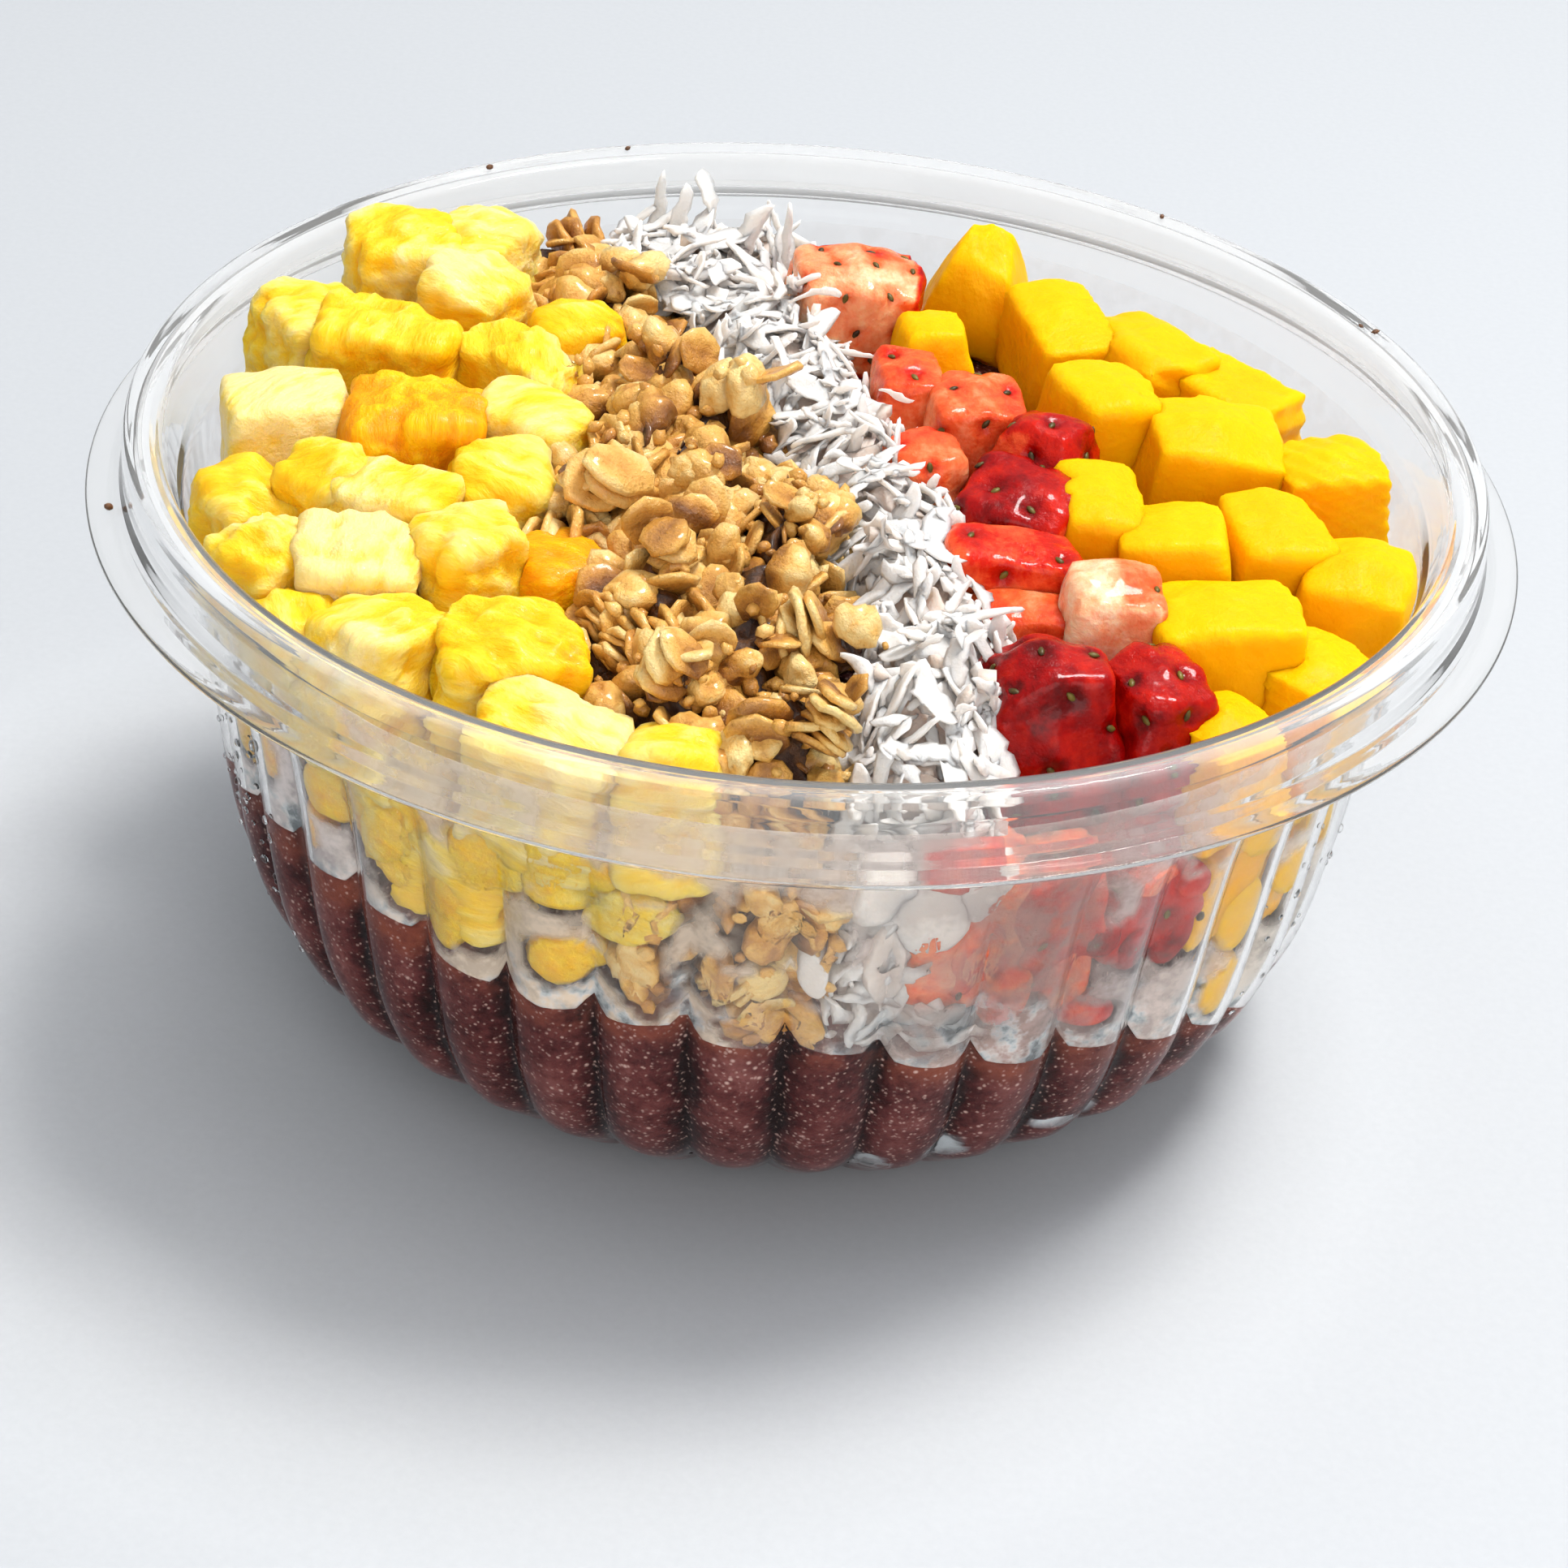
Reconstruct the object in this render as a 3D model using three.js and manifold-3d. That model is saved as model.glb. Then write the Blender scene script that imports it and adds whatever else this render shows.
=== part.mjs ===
// An acai bowl: a clear fluted take-away bowl filled with acai, under stripes of fruit, granola and coconut.
// Millimetres, +Z up. The origin is the middle of the flat base, and the front faces -Y.
import * as THREE from 'three';
import { mergeVertices } from 'three/addons/utils/BufferGeometryUtils.js';
import Module from 'manifold-3d';

const wasm = await Module();
wasm.setup();

// ---------------------------------------------------------------- driving dimensions

const FLANGE_DIAMETER = 160; // sets the size of the whole
const FLANGE_RADIUS = FLANGE_DIAMETER / 2;
const FLANGE_HEIGHT = 64;
const COLLAR_RADIUS = 75.9; // outside of the raised rim
const LIP_RADIUS = 71.9; // inside edge of the raised rim
const RIM_HEIGHT = 71.2;
const SHEET = 0.8; // thickness of the clear sheet
const GAP = 0.3; // kept between pieces that touch
const HEADROOM = 100; // above every topping

const FLUTES = 40;
const FLUTE_PITCH = 360 / FLUTES;
const FIRST_CREASE = 2; // degrees from the front towards +X
const CREASE_DEPTH = 2;
const RING_FINE = FLUTES * 3;
const RING_PLAIN = FLUTES;
const GOLDEN = (Math.sqrt(5) - 1) / 2; // its multiples spread evenly between 0 and 1

// Outside of the fluted body: radius over the lobes, height, and how deep the creases are there (1 is full).
const BODY = [
  [43, 0, 0],
  [44.6, 1.7, 0],
  [48.6, 3, 0.6],
  [53.6, 6.8, 1],
  [60, 13, 1],
  [64.6, 25, 1],
  [68, 50, 0.6],
  [69.6, 58, 0],
  [70.5, FLANGE_HEIGHT, 0],
];

// Section of the hollow rim, from the top of the wall's outside, round the flange, to the inner lip.
const UNDER_RIM = RIM_HEIGHT - SHEET;
const UNDER_FLANGE = FLANGE_HEIGHT - SHEET;
const ROUNDING = 0.7; // cut off the rim's corners
const RIM = [
  [LIP_RADIUS + 0.2, UNDER_RIM - 1.1],
  [COLLAR_RADIUS - SHEET - ROUNDING / 2, UNDER_RIM],
  [COLLAR_RADIUS - SHEET, UNDER_FLANGE + ROUNDING],
  [COLLAR_RADIUS - SHEET / 2, UNDER_FLANGE],
  [FLANGE_RADIUS, UNDER_FLANGE],
  [FLANGE_RADIUS, FLANGE_HEIGHT],
  [COLLAR_RADIUS + 0.2, FLANGE_HEIGHT + 0.1],
  [COLLAR_RADIUS, RIM_HEIGHT - ROUNDING],
  [COLLAR_RADIUS - ROUNDING, RIM_HEIGHT],
  [LIP_RADIUS + 0.4, RIM_HEIGHT - 0.5],
  [LIP_RADIUS - 0.4, RIM_HEIGHT - 1.3],
];

// Height of the acai where it meets the wall, by the angle from the front towards +X.
const ACAI_AT_WALL = [
  [-180, 42], [-110, 35], [-68, 28], [-38, 35], [-10, 33.5], [25, 30],
  [42, 23.5], [56, 18], [80, 20], [120, 32], [180, 42],
];
const ACAI_LOW = 16; // below the whole of that line
const TOPPING_DEPTH = 11; // from the top of the toppings down to the acai under them
const SHOULDER_RADIUS = 47; // where the acai starts to fall away to the wall

// The top of the toppings: highest in the middle and towards the back left.
const TOP_MIDDLE = 73;
const TOP_FALL = 5; // from the middle to the wall
const TOP_LEAN = 0.04; // drop for each millimetre towards +X

// Fruit pieces: middle x, y, z, then length, width, height, then turn about Z and tip, in degrees.
const PINEAPPLE = [
  [-51, 36, 67, 14, 15, 15, 20, 6],
  [-41.5, 40, 66, 13, 17, 13, -15, -5],
  [-59, 20, 65, 13, 14, 13, 35, 8],
  [-58.5, -1, 64.5, 16, 15, 12, 12, -8],
  [-60, -18, 61, 10, 13, 14, 30, 5],
  [-51.5, -17.5, 66, 10, 9, 10, -20, 10],
  [-49, 14, 67, 18, 12, 12, -10, 4],
  [-43.5, -5, 66, 17, 15, 13, 8, -4],
  [-31, -3.5, 68, 14, 10, 9, -25, 8],
  [-33, -15, 66, 11, 11, 10, 15, 0],
  [-41, 26, 68, 13, 11, 10, -28, 5],
  [-33, 10.5, 67.5, 18, 9, 10, -35, -6],
  [-28, 21, 67, 11, 11, 9, 25, 5],
  [-44, -21.5, 66.5, 15, 10, 10, -10, 0],
  [-56, -30, 60, 12, 12, 20, -40, 6],
  [-46, -32.5, 64.5, 15, 13, 12, 5, 8],
  [-34.5, -30, 66, 12, 12, 11, 30, -6],
  [-42, -45, 59.5, 14, 13, 19, -38, -6],
  [-29.5, -46, 62.5, 17, 16, 16, 15, 8],
  [-51.5, -41, 59, 9, 9, 17, -50, 0],
  [-23.5, -57, 58, 17, 11, 18, -20, 5],
  [-10.5, -60, 58, 11, 9, 15, -8, -8],
  [-25.5, -29, 64, 12, 12, 10, 40, 0],
  [-31, -53, 44, 14, 9, 12, -30, 10],
  [-38.5, -49.5, 49, 13, 9, 19, -38, -8],
];
const STRAWBERRY = [
  [4, 37, 65.5, 19, 15, 17, 10, 8],
  [11, 14, 67.5, 9, 14, 10, 5, 0],
  [18.5, 9.5, 66, 13, 14, 13, 12, 6],
  [27, 2, 66, 10, 11, 13, -30, -12],
  [23.5, -9, 65, 16, 14, 11, -20, 8],
  [23, -21.5, 67, 18, 10, 6, 8, 6],
  [26, -27, 62.5, 20, 12, 8, 4, 0],
  [33.5, -28.5, 65, 12, 11, 11, 6, 5],
  [26.5, -44, 60, 15, 14, 20, 12, -6],
  [37.5, -42, 59.5, 12, 13, 19, 30, 6],
  [13, -3, 67, 9, 10, 8, 25, 0],
  [19.5, -58, 46.5, 13, 10, 22, 18, 8],
  [37.5, -48.5, 46, 13, 8, 15, 38, -14],
  [28.5, -54.5, 45, 10, 8, 17, 28, 10],
];
const MANGO = [
  [19, 47, 65, 13, 13, 17, -10, 14],
  [14, 27, 66.5, 10, 13, 10, 10, -5],
  [29, 34, 64.5, 11, 18, 12, 20, 8],
  [39, 30, 64, 12, 18, 11, 35, -5],
  [49, 25, 62.5, 12, 17, 11, 50, 5],
  [33, 14.5, 65, 11, 14, 13, 20, 6],
  [45.5, 9.5, 61.5, 18, 15, 18, 6, 3],
  [59.5, 8, 60, 14, 15, 16, 12, -3],
  [32.5, -9, 66, 10, 14, 8, 5, 5],
  [41, -13.5, 64, 13, 14, 11, -8, -4],
  [52, -8, 62, 12, 14, 12, 15, 6],
  [61, -13, 57, 13, 14, 18, -8, 4],
  [45.5, -28.5, 60, 18, 15, 17, 10, -4],
  [55, -31.5, 55, 14, 12, 20, 52, 5],
  [45, -44.5, 57, 10, 9, 15, 42, 0],
  [45.5, -40.5, 42, 11, 9, 13, 45, 8],
  [53, -29, 38, 10, 8, 14, 58, -6],
];

// Heaps: for each station from back to front, its y, the middle x and the half width of the stripe.
const GRANOLA_STRIPE = [
  [52, -33, 8], [36, -27, 10], [20, -23, 12], [0, -17, 14], [-18, -13, 17], [-32, -11, 18],
  [-45, -7, 15], [-55, -5, 12], [-62, -4, 10],
];
const COCONUT_STRIPE = [
  [56, -12, 15], [44, -18, 13], [30, -8, 10], [15, -2, 9], [-2, 6, 9], [-19, 12, 8],
  [-32, 15, 8], [-46, 15, 7], [-55, 14, 7.5], [-62, 13, 7],
];
// Across a heap's core: share of the half width, and the drop from its top.
const RIDGE_SECTION = [[1, 7], [0.85, 3], [0.3, 0], [-0.3, 0], [-0.85, 3], [-1, 7]];
const RIDGE_FLOOR = 30; // below the acai, which the ridges are cut to
const GRANOLA_SINK = 4; // from the top of the toppings down to the heap's bare core
const COCONUT_SINK = 2.5;
const HEAP_REACH = 61; // furthest from the middle that a scattered piece is centred

// How many pieces are scattered over a stripe, and how many more lie against the wall at its front end.
const GRANOLA_LUMPS = 26;
const GRANOLA_FLAKES = 17;
const COCONUT_SHREDS = 30;
const GRANOLA_FRONT = { count: 8, angles: [-24, 3], heights: [40, 60] };
const COCONUT_FRONT = { count: 7, angles: [6, 21], heights: [42, 60] };
const FLAKE_THICKNESS = 1.6;
const SHRED_WIDTH = 2.2;
const SHRED_THICKNESS = 1.1;

const COLOURS = {
  clear: 0xe6eaec,
  acai: 0x432a2d,
  granola: 0xc08a4c,
  coconut: 0xf1ece6,
  pineapple: 0xf5cf3f,
  mango: 0xf8bd12,
  strawberry: 0xc8352a,
};

// ---------------------------------------------------------------- small helpers

const radians = (degrees) => (degrees * Math.PI) / 180;
const clamp = (value, low, high) => Math.min(high, Math.max(low, value));

function seeded(seed) {
  let state = seed >>> 0;
  return () => {
    state = (state + 0x6d2b79f5) >>> 0;
    let t = state;
    t = Math.imul(t ^ (t >>> 15), t | 1);
    t ^= t + Math.imul(t ^ (t >>> 7), t | 61);
    return ((t ^ (t >>> 14)) >>> 0) / 4294967296;
  };
}

// A value read off straight lines between the rows of a short list, whose column 'key' rises.
function between(rows, key, at, column) {
  let k = 1;
  while (k < rows.length - 1 && rows[k][key] < at) k += 1;
  const [low, high] = [rows[k - 1], rows[k]];
  const share = clamp((at - low[key]) / (high[key] - low[key]), 0, 1);
  return low[column] + (high[column] - low[column]) * share;
}

// A point by its radius, its angle in degrees from the front towards +X, and its height.
function polar(radius, angle, z) {
  return [radius * Math.sin(radians(angle)), -radius * Math.cos(radians(angle)), z];
}

// 0 on the crown of a lobe and 1 in a crease.
function crease(angle) {
  const turns = (angle - FIRST_CREASE) / FLUTE_PITCH;
  const across = 2 * (turns - Math.floor(turns)) - 1;
  return across * across;
}

// ---------------------------------------------------------------- closed meshes

function geometryOf(points, triangles) {
  const geometry = new THREE.BufferGeometry();
  geometry.setAttribute('position', new THREE.Float32BufferAttribute(points.flat(), 3));
  geometry.setIndex(triangles.flat());
  return geometry;
}

// A geometry turned by three angles in degrees, the tip first and the turn about Z last, and then moved.
function posed(geometry, position, [turn, tip, roll]) {
  const rotation = new THREE.Euler(radians(tip), radians(roll), radians(turn), 'ZYX');
  return geometry.applyMatrix4(new THREE.Matrix4().makeRotationFromEuler(rotation).setPosition(...position));
}

function toManifold(geometry) {
  const bare = geometry.clone();
  for (const name of ['normal', 'uv']) bare.deleteAttribute(name);
  const merged = mergeVertices(bare, 1e-4);
  return new wasm.Manifold(new wasm.Mesh({
    numProp: 3,
    vertProperties: new Float32Array(merged.attributes.position.array),
    triVerts: new Uint32Array(merged.index.array),
  }));
}

function toGeometry(solid) {
  const { vertProperties, triVerts } = solid.getMesh();
  const geometry = new THREE.BufferGeometry();
  geometry.setAttribute('position', new THREE.Float32BufferAttribute(vertProperties, 3));
  geometry.setIndex(Array.from(triVerts));
  geometry.computeVertexNormals();
  return geometry;
}

// Cutting can leave scraps: only the largest body of a piece is kept.
function largest(solid) {
  return solid.decompose().sort((a, b) => b.volume() - a.volume())[0];
}

// Closes a stack of rings, each a loop of points that starts at the same angle, between two end points.
// Neighbouring rings may have different counts: each triangle steps along the ring that lags behind.
function ringSolid(rings) {
  const points = [];
  const triangles = [];
  const loops = rings.map((ring) => ring.map((point) => points.push(point) - 1));
  for (let k = 1; k < loops.length; k += 1) {
    const [a, b] = [loops[k - 1], loops[k]];
    const steps = [a.length > 1 ? a.length : 0, b.length > 1 ? b.length : 0];
    let [i, j] = [0, 0];
    while (i < steps[0] || j < steps[1]) {
      const advanceA = j >= steps[1] || (i < steps[0] && (i + 0.5) / steps[0] <= (j + 0.5) / steps[1]);
      const [pa, pb] = [a[i % a.length], b[j % b.length]];
      if (advanceA) {
        i += 1;
        triangles.push([pa, a[i % a.length], pb]);
      } else {
        j += 1;
        triangles.push([pa, b[j % b.length], pb]);
      }
    }
  }
  return geometryOf(points, triangles);
}

// ---------------------------------------------------------------- the bowl

// A profile moved inwards by a distance, square to its slope at each point.
function inset(profile, distance) {
  return profile.map(([radius, z, depth], k) => {
    const before = profile[Math.max(k - 1, 0)];
    const after = profile[Math.min(k + 1, profile.length - 1)];
    const [dr, dz] = [after[0] - before[0], after[1] - before[1]];
    const length = Math.hypot(dr, dz);
    const floor = k === 0;
    return floor
      ? [radius - distance, z + distance, depth]
      : [radius - (distance * dz) / length, z + (distance * dr) / length, depth];
  });
}

function flutedRing(radius, z, depth, count) {
  return Array.from({ length: count }, (_, i) => {
    const angle = FIRST_CREASE + (i * 360) / count;
    return polar(radius - depth * CREASE_DEPTH * crease(angle), angle, z);
  });
}

function bodyRings(profile) {
  return profile.map(([radius, z, depth]) => {
    const count = depth > 0 ? RING_FINE : RING_PLAIN;
    return flutedRing(radius, z, depth, count);
  });
}

function bowlGeometry() {
  const inside = inset(BODY, SHEET);
  const rim = RIM.map(([radius, z]) => flutedRing(radius, z, 0, RING_PLAIN));
  return ringSolid([
    [[0, 0, BODY[0][1]]],
    ...bodyRings(BODY),
    ...rim,
    ...bodyRings(inside).reverse(),
    [[0, 0, inside[0][1]]],
  ]);
}

// The room inside the bowl, clear of the creases, that every topping is kept to.
function cavityGeometry() {
  const wall = inset(BODY, SHEET + GAP).map(([radius, z, depth]) => [radius - depth * CREASE_DEPTH, z]);
  const loops = [...wall, [LIP_RADIUS - 1, RIM_HEIGHT], [LIP_RADIUS - 1, HEADROOM]];
  return ringSolid([
    [[0, 0, wall[0][1]]],
    ...loops.map(([radius, z]) => flutedRing(radius, z, 0, RING_PLAIN)),
    [[0, 0, HEADROOM]],
  ]);
}

// ---------------------------------------------------------------- the acai

function toppingsTop(x, y) {
  const out = Math.min(Math.hypot(x, y) / LIP_RADIUS, 1);
  return TOP_MIDDLE - TOP_LEAN * x - TOP_FALL * out * out;
}

function acaiAtWall(angle) {
  const turned = ((((angle + 180) % 360) + 360) % 360) - 180;
  return between(ACAI_AT_WALL, 0, turned, 1);
}

function acaiTop(x, y, wallRadius) {
  const angle = (Math.atan2(x, -y) * 180) / Math.PI;
  const share = clamp((Math.hypot(x, y) - SHOULDER_RADIUS) / (wallRadius - SHOULDER_RADIUS), 0, 1);
  const smooth = share * share * (3 - 2 * share);
  const under = toppingsTop(x, y) - TOPPING_DEPTH;
  return under + (acaiAtWall(angle) - under) * smooth;
}

// With swell above 0 its top is that much higher, for cutting what lies on it.
function acaiGeometry(swell) {
  const wall = inset(BODY, SHEET + GAP);
  const radiusAt = (z) => between(wall, 1, z, 0);
  const depthAt = (z) => between(wall, 1, z, 2);
  const low = wall.filter(([, z]) => z < ACAI_LOW);
  const wallRing = (heightAt) => Array.from({ length: RING_FINE }, (_, i) => {
    const angle = FIRST_CREASE + (i * 360) / RING_FINE;
    const z = heightAt(angle);
    return polar(radiusAt(z) - depthAt(z) * CREASE_DEPTH * crease(angle), angle, z);
  });
  const topRing = (share, count) => Array.from({ length: count }, (_, i) => {
    const angle = FIRST_CREASE + (i * 360) / count;
    const edge = radiusAt(acaiAtWall(angle)) - CREASE_DEPTH;
    const [x, y] = polar(edge * share, angle, 0);
    return [x, y, acaiTop(x, y, edge) + swell];
  });
  return ringSolid([
    [[0, 0, low[0][1]]],
    ...bodyRings(low),
    wallRing((angle) => (ACAI_LOW + acaiAtWall(angle)) / 2),
    wallRing(acaiAtWall),
    ...(swell > 0 ? [wallRing((angle) => acaiAtWall(angle) + swell)] : []),
    topRing(0.92, RING_PLAIN),
    topRing(0.75, RING_PLAIN),
    topRing(0.5, RING_PLAIN / 2),
    topRing(0.25, RING_PLAIN / 4),
    [[0, 0, acaiTop(0, 0, LIP_RADIUS) + swell]],
  ]);
}

// ---------------------------------------------------------------- fruit

const STYLES = {
  pineapple: { roundness: 4.2, uneven: 0.24, taper: 0.16 },
  strawberry: { roundness: 4, uneven: 0.2, taper: 0.24 },
  mango: { roundness: 5, uneven: 0.12, taper: 0.08 },
};

// A cut piece: a block with rounded edges whose eight corners are each pushed in or out.
function chunkGeometry([x, y, z, length, width, height, turn, tip], style, seed, swell) {
  const { roundness, uneven, taper } = style;
  const draw = seeded(seed);
  const corners = Array.from({ length: 8 }, () => [0, 1, 2].map(() => 1 + uneven * (draw() - 0.6)));
  const rows = height > 1.2 * length ? 2 : 1;
  const geometry = new THREE.BoxGeometry(2, 2, 2, 2, 2, rows);
  const half = [length, width, height].map((size) => size / 2 + swell);
  const at = geometry.attributes.position;
  for (let i = 0; i < at.count; i += 1) {
    const p = [at.getX(i), at.getY(i), at.getZ(i)];
    const norm = p.reduce((sum, v) => sum + Math.abs(v) ** roundness, 0) ** (1 / roundness);
    const q = p.map((v) => v / norm);
    const moved = q.map((v, axis) => {
      const pull = corners.reduce((sum, corner, c) => {
        const weight = [0, 1, 2].reduce((w, a) => w * (1 + q[a] * ((c >> a) & 1 ? 1 : -1)) / 2, 1);
        return sum + corner[axis] * weight;
      }, 0);
      const narrow = axis < 2 ? 1 - (taper * q[2]) / 2 : 1;
      return v * pull * narrow * half[axis];
    });
    at.setXYZ(i, ...moved);
  }
  return posed(geometry, [x, y, z], [turn, tip, tip / 2]);
}

// ---------------------------------------------------------------- heaps

// The core of a stripe: a low ridge from station to station, with an upright side and a flat floor.
function ridgeGeometry(stations, sink) {
  const rings = stations.map(([y, middle, half]) => [
    ...RIDGE_SECTION.map(([share, drop]) => {
      const x = middle + share * half;
      return [x, y, toppingsTop(x, y) - sink - drop];
    }),
    [middle - half, y, RIDGE_FLOOR],
    [middle + half, y, RIDGE_FLOOR],
  ]);
  const cap = ([y, middle]) => [[middle, y, (RIDGE_FLOOR + toppingsTop(middle, y)) / 2]];
  return ringSolid([cap(stations[0]), ...rings, cap(stations[stations.length - 1])]);
}

function lumpGeometry(size, draw) {
  const geometry = new THREE.IcosahedronGeometry(size / 2, 0);
  geometry.scale(1 + 0.25 * draw(), 0.85 + 0.2 * draw(), 0.7 + 0.2 * draw());
  return geometry;
}

function flakeGeometry(size) {
  const geometry = new THREE.CylinderGeometry(size / 2, size / 2 - 0.4, FLAKE_THICKNESS, 6);
  geometry.rotateX(Math.PI / 2);
  geometry.scale(1, 0.72, 1);
  return geometry;
}

// A curved strip that narrows and droops towards its ends.
function shredGeometry(length, draw) {
  const geometry = new THREE.BoxGeometry(length, SHRED_WIDTH, SHRED_THICKNESS, 2, 1, 1);
  const bend = (draw() - 0.3) * SHRED_WIDTH;
  const at = geometry.attributes.position;
  for (let i = 0; i < at.count; i += 1) {
    const end = Math.abs(at.getX(i)) / (length / 2);
    at.setXYZ(i, at.getX(i), at.getY(i) * (1 - 0.45 * end) + bend * end, at.getZ(i) - 0.6 * end);
  }
  return geometry;
}

// Places evenly spread over a share of a stripe's width from back to front, each moved a little by the draw.
function stripePlaces(stations, share, count, draw) {
  const [back, front] = [stations[0][0], stations[stations.length - 1][0]];
  const rising = [...stations].reverse();
  return Array.from({ length: count }, (_, k) => {
    const y = back + (front - back) * ((k + 0.5) / count);
    const side = ((k * GOLDEN) % 1) * 2 - 1;
    const x = between(rising, 0, y, 1) + side * share * between(rising, 0, y, 2) + 2 * draw() - 1;
    const inwards = Math.min(1, HEAP_REACH / Math.hypot(x, y));
    return [x * inwards, y * inwards];
  });
}

// Places spread over the front end of a stripe, just inside the wall.
function frontPlaces({ count, angles, heights }, draw) {
  return Array.from({ length: count }, (_, k) => {
    const angle = angles[0] + (angles[1] - angles[0]) * ((k * GOLDEN + 0.2 * draw()) % 1);
    const z = heights[0] + (heights[1] - heights[0]) * ((k + 0.5) / count);
    return polar(HEAP_REACH, angle, z);
  });
}

// Fuses the scattered pieces on to a core, each cut by the wall and the acai. One that would cross a
// neighbour is skipped.
function heap(core, pieces, neighbours) {
  let fused = core;
  for (const geometry of pieces) {
    const solid = toManifold(geometry).intersect(cavity).subtract(acaiSwollen);
    const near = neighbours.filter((other) => boxesMeet(solid, other));
    const crosses = near.some((other) => solid.intersect(other).volume() > 0);
    if (!crosses) fused = fused.add(solid);
  }
  return largest(fused);
}

// ---------------------------------------------------------------- assembly

const group = new THREE.Group();

function addMesh(name, geometry, colour, roughness, more = {}) {
  const mesh = new THREE.Mesh(
    geometry,
    new THREE.MeshStandardMaterial({ color: colour, roughness, metalness: 0, ...more }),
  );
  mesh.name = name;
  group.add(mesh);
}

const cavity = toManifold(cavityGeometry());
const acaiSwollen = toManifold(acaiGeometry(GAP + 0.1));

function boxesMeet(a, b) {
  const [p, q] = [a.boundingBox(), b.boundingBox()];
  return [0, 1, 2].every((axis) => p.min[axis] < q.max[axis] && q.min[axis] < p.max[axis]);
}

const taken = []; // each placed fruit, a little swollen, in the order of placing

function fitted(solid, obstacles) {
  const near = obstacles.filter((other) => boxesMeet(solid, other));
  return largest(near.reduce((left, other) => left.subtract(other), solid));
}

function addFruit(kind, pieces, colour, roughness, firstSeed) {
  pieces.forEach((piece, k) => {
    const seed = firstSeed + k;
    const whole = toManifold(chunkGeometry(piece, STYLES[kind], seed, 0)).intersect(cavity);
    const solid = fitted(whole, [acaiSwollen, ...taken]);
    taken.push(toManifold(chunkGeometry(piece, STYLES[kind], seed, GAP)));
    addMesh(`${kind}_${String(k + 1).padStart(2, '0')}`, toGeometry(solid), colour, roughness);
  });
}

addMesh('bowl', bowlGeometry(), COLOURS.clear, 0.1, { transparent: true, opacity: 0.35 });
addMesh('acai', acaiGeometry(0), COLOURS.acai, 0.55);
addFruit('strawberry', STRAWBERRY, COLOURS.strawberry, 0.3, 300);
addFruit('pineapple', PINEAPPLE, COLOURS.pineapple, 0.35, 100);
addFruit('mango', MANGO, COLOURS.mango, 0.35, 200);

const granolaCore = fitted(
  toManifold(ridgeGeometry(GRANOLA_STRIPE, GRANOLA_SINK)).intersect(cavity),
  [acaiSwollen, ...taken],
);
const granolaSwollen = toManifold(ridgeGeometry(
  GRANOLA_STRIPE.map(([y, middle, half]) => [y, middle, half + GAP]), GRANOLA_SINK - GAP,
));
const coconutCore = fitted(
  toManifold(ridgeGeometry(COCONUT_STRIPE, COCONUT_SINK)).intersect(cavity),
  [acaiSwollen, ...taken, granolaSwollen],
);

const drawGranola = seeded(41);
const granolaLump = (place) => {
  const size = 8 + 5 * drawGranola();
  const turns = [360 * drawGranola(), 40 * drawGranola(), 40 * drawGranola()];
  return posed(lumpGeometry(size, drawGranola), place, turns);
};
const granolaFlake = (place) => {
  const size = 8 + 2.5 * drawGranola();
  const turns = [360 * drawGranola(), -20 + 60 * drawGranola(), -20 + 60 * drawGranola()];
  return posed(flakeGeometry(size), place, turns);
};
const granolaPieces = [
  ...stripePlaces(GRANOLA_STRIPE, 0.85, GRANOLA_LUMPS, drawGranola)
    .map(([x, y]) => granolaLump([x, y, toppingsTop(x, y) - 3.5])),
  ...frontPlaces(GRANOLA_FRONT, drawGranola).map(granolaLump),
  ...stripePlaces(GRANOLA_STRIPE, 0.85, GRANOLA_FLAKES, drawGranola)
    .map(([x, y]) => granolaFlake([x, y, toppingsTop(x, y) - 1.5 * drawGranola()])),
];
const drawCoconut = seeded(57);
const coconutShred = (place) => {
  const length = 7 + 4 * drawCoconut();
  const turns = [360 * drawCoconut(), -25 + 50 * drawCoconut(), -30 + 60 * drawCoconut()];
  return posed(shredGeometry(length, drawCoconut), place, turns);
};
const coconutLump = (place) => posed(lumpGeometry(6 + 4 * drawCoconut(), drawCoconut), place, [0, 0, 0]);
const coconutPieces = [
  ...frontPlaces(COCONUT_FRONT, drawCoconut).map(coconutLump),
  ...stripePlaces(COCONUT_STRIPE, 0.6, COCONUT_SHREDS, drawCoconut)
    .map(([x, y]) => coconutShred([x, y, toppingsTop(x, y) - COCONUT_SINK + 1.8 * drawCoconut()])),
];

const granola = heap(granolaCore, granolaPieces, [...taken, coconutCore]);
const coconut = heap(coconutCore, coconutPieces, [...taken, granola]);
addMesh('granola', toGeometry(granola), COLOURS.granola, 0.7);
addMesh('coconut', toGeometry(coconut), COLOURS.coconut, 0.6);

export default group;
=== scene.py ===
"""Looks of an acai bowl: a clear fluted takeaway bowl of acai under stripes of fruit, granola and coconut.

Shapes are worked out in millimetres in the part's own frame, with the origin in the middle of the base,
+Z up and the front facing -Y. A mesh is scaled to metres when it is made.
"""
import math

import bpy
import numpy as np
from mathutils import Matrix, Vector
from mathutils.kdtree import KDTree


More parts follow.
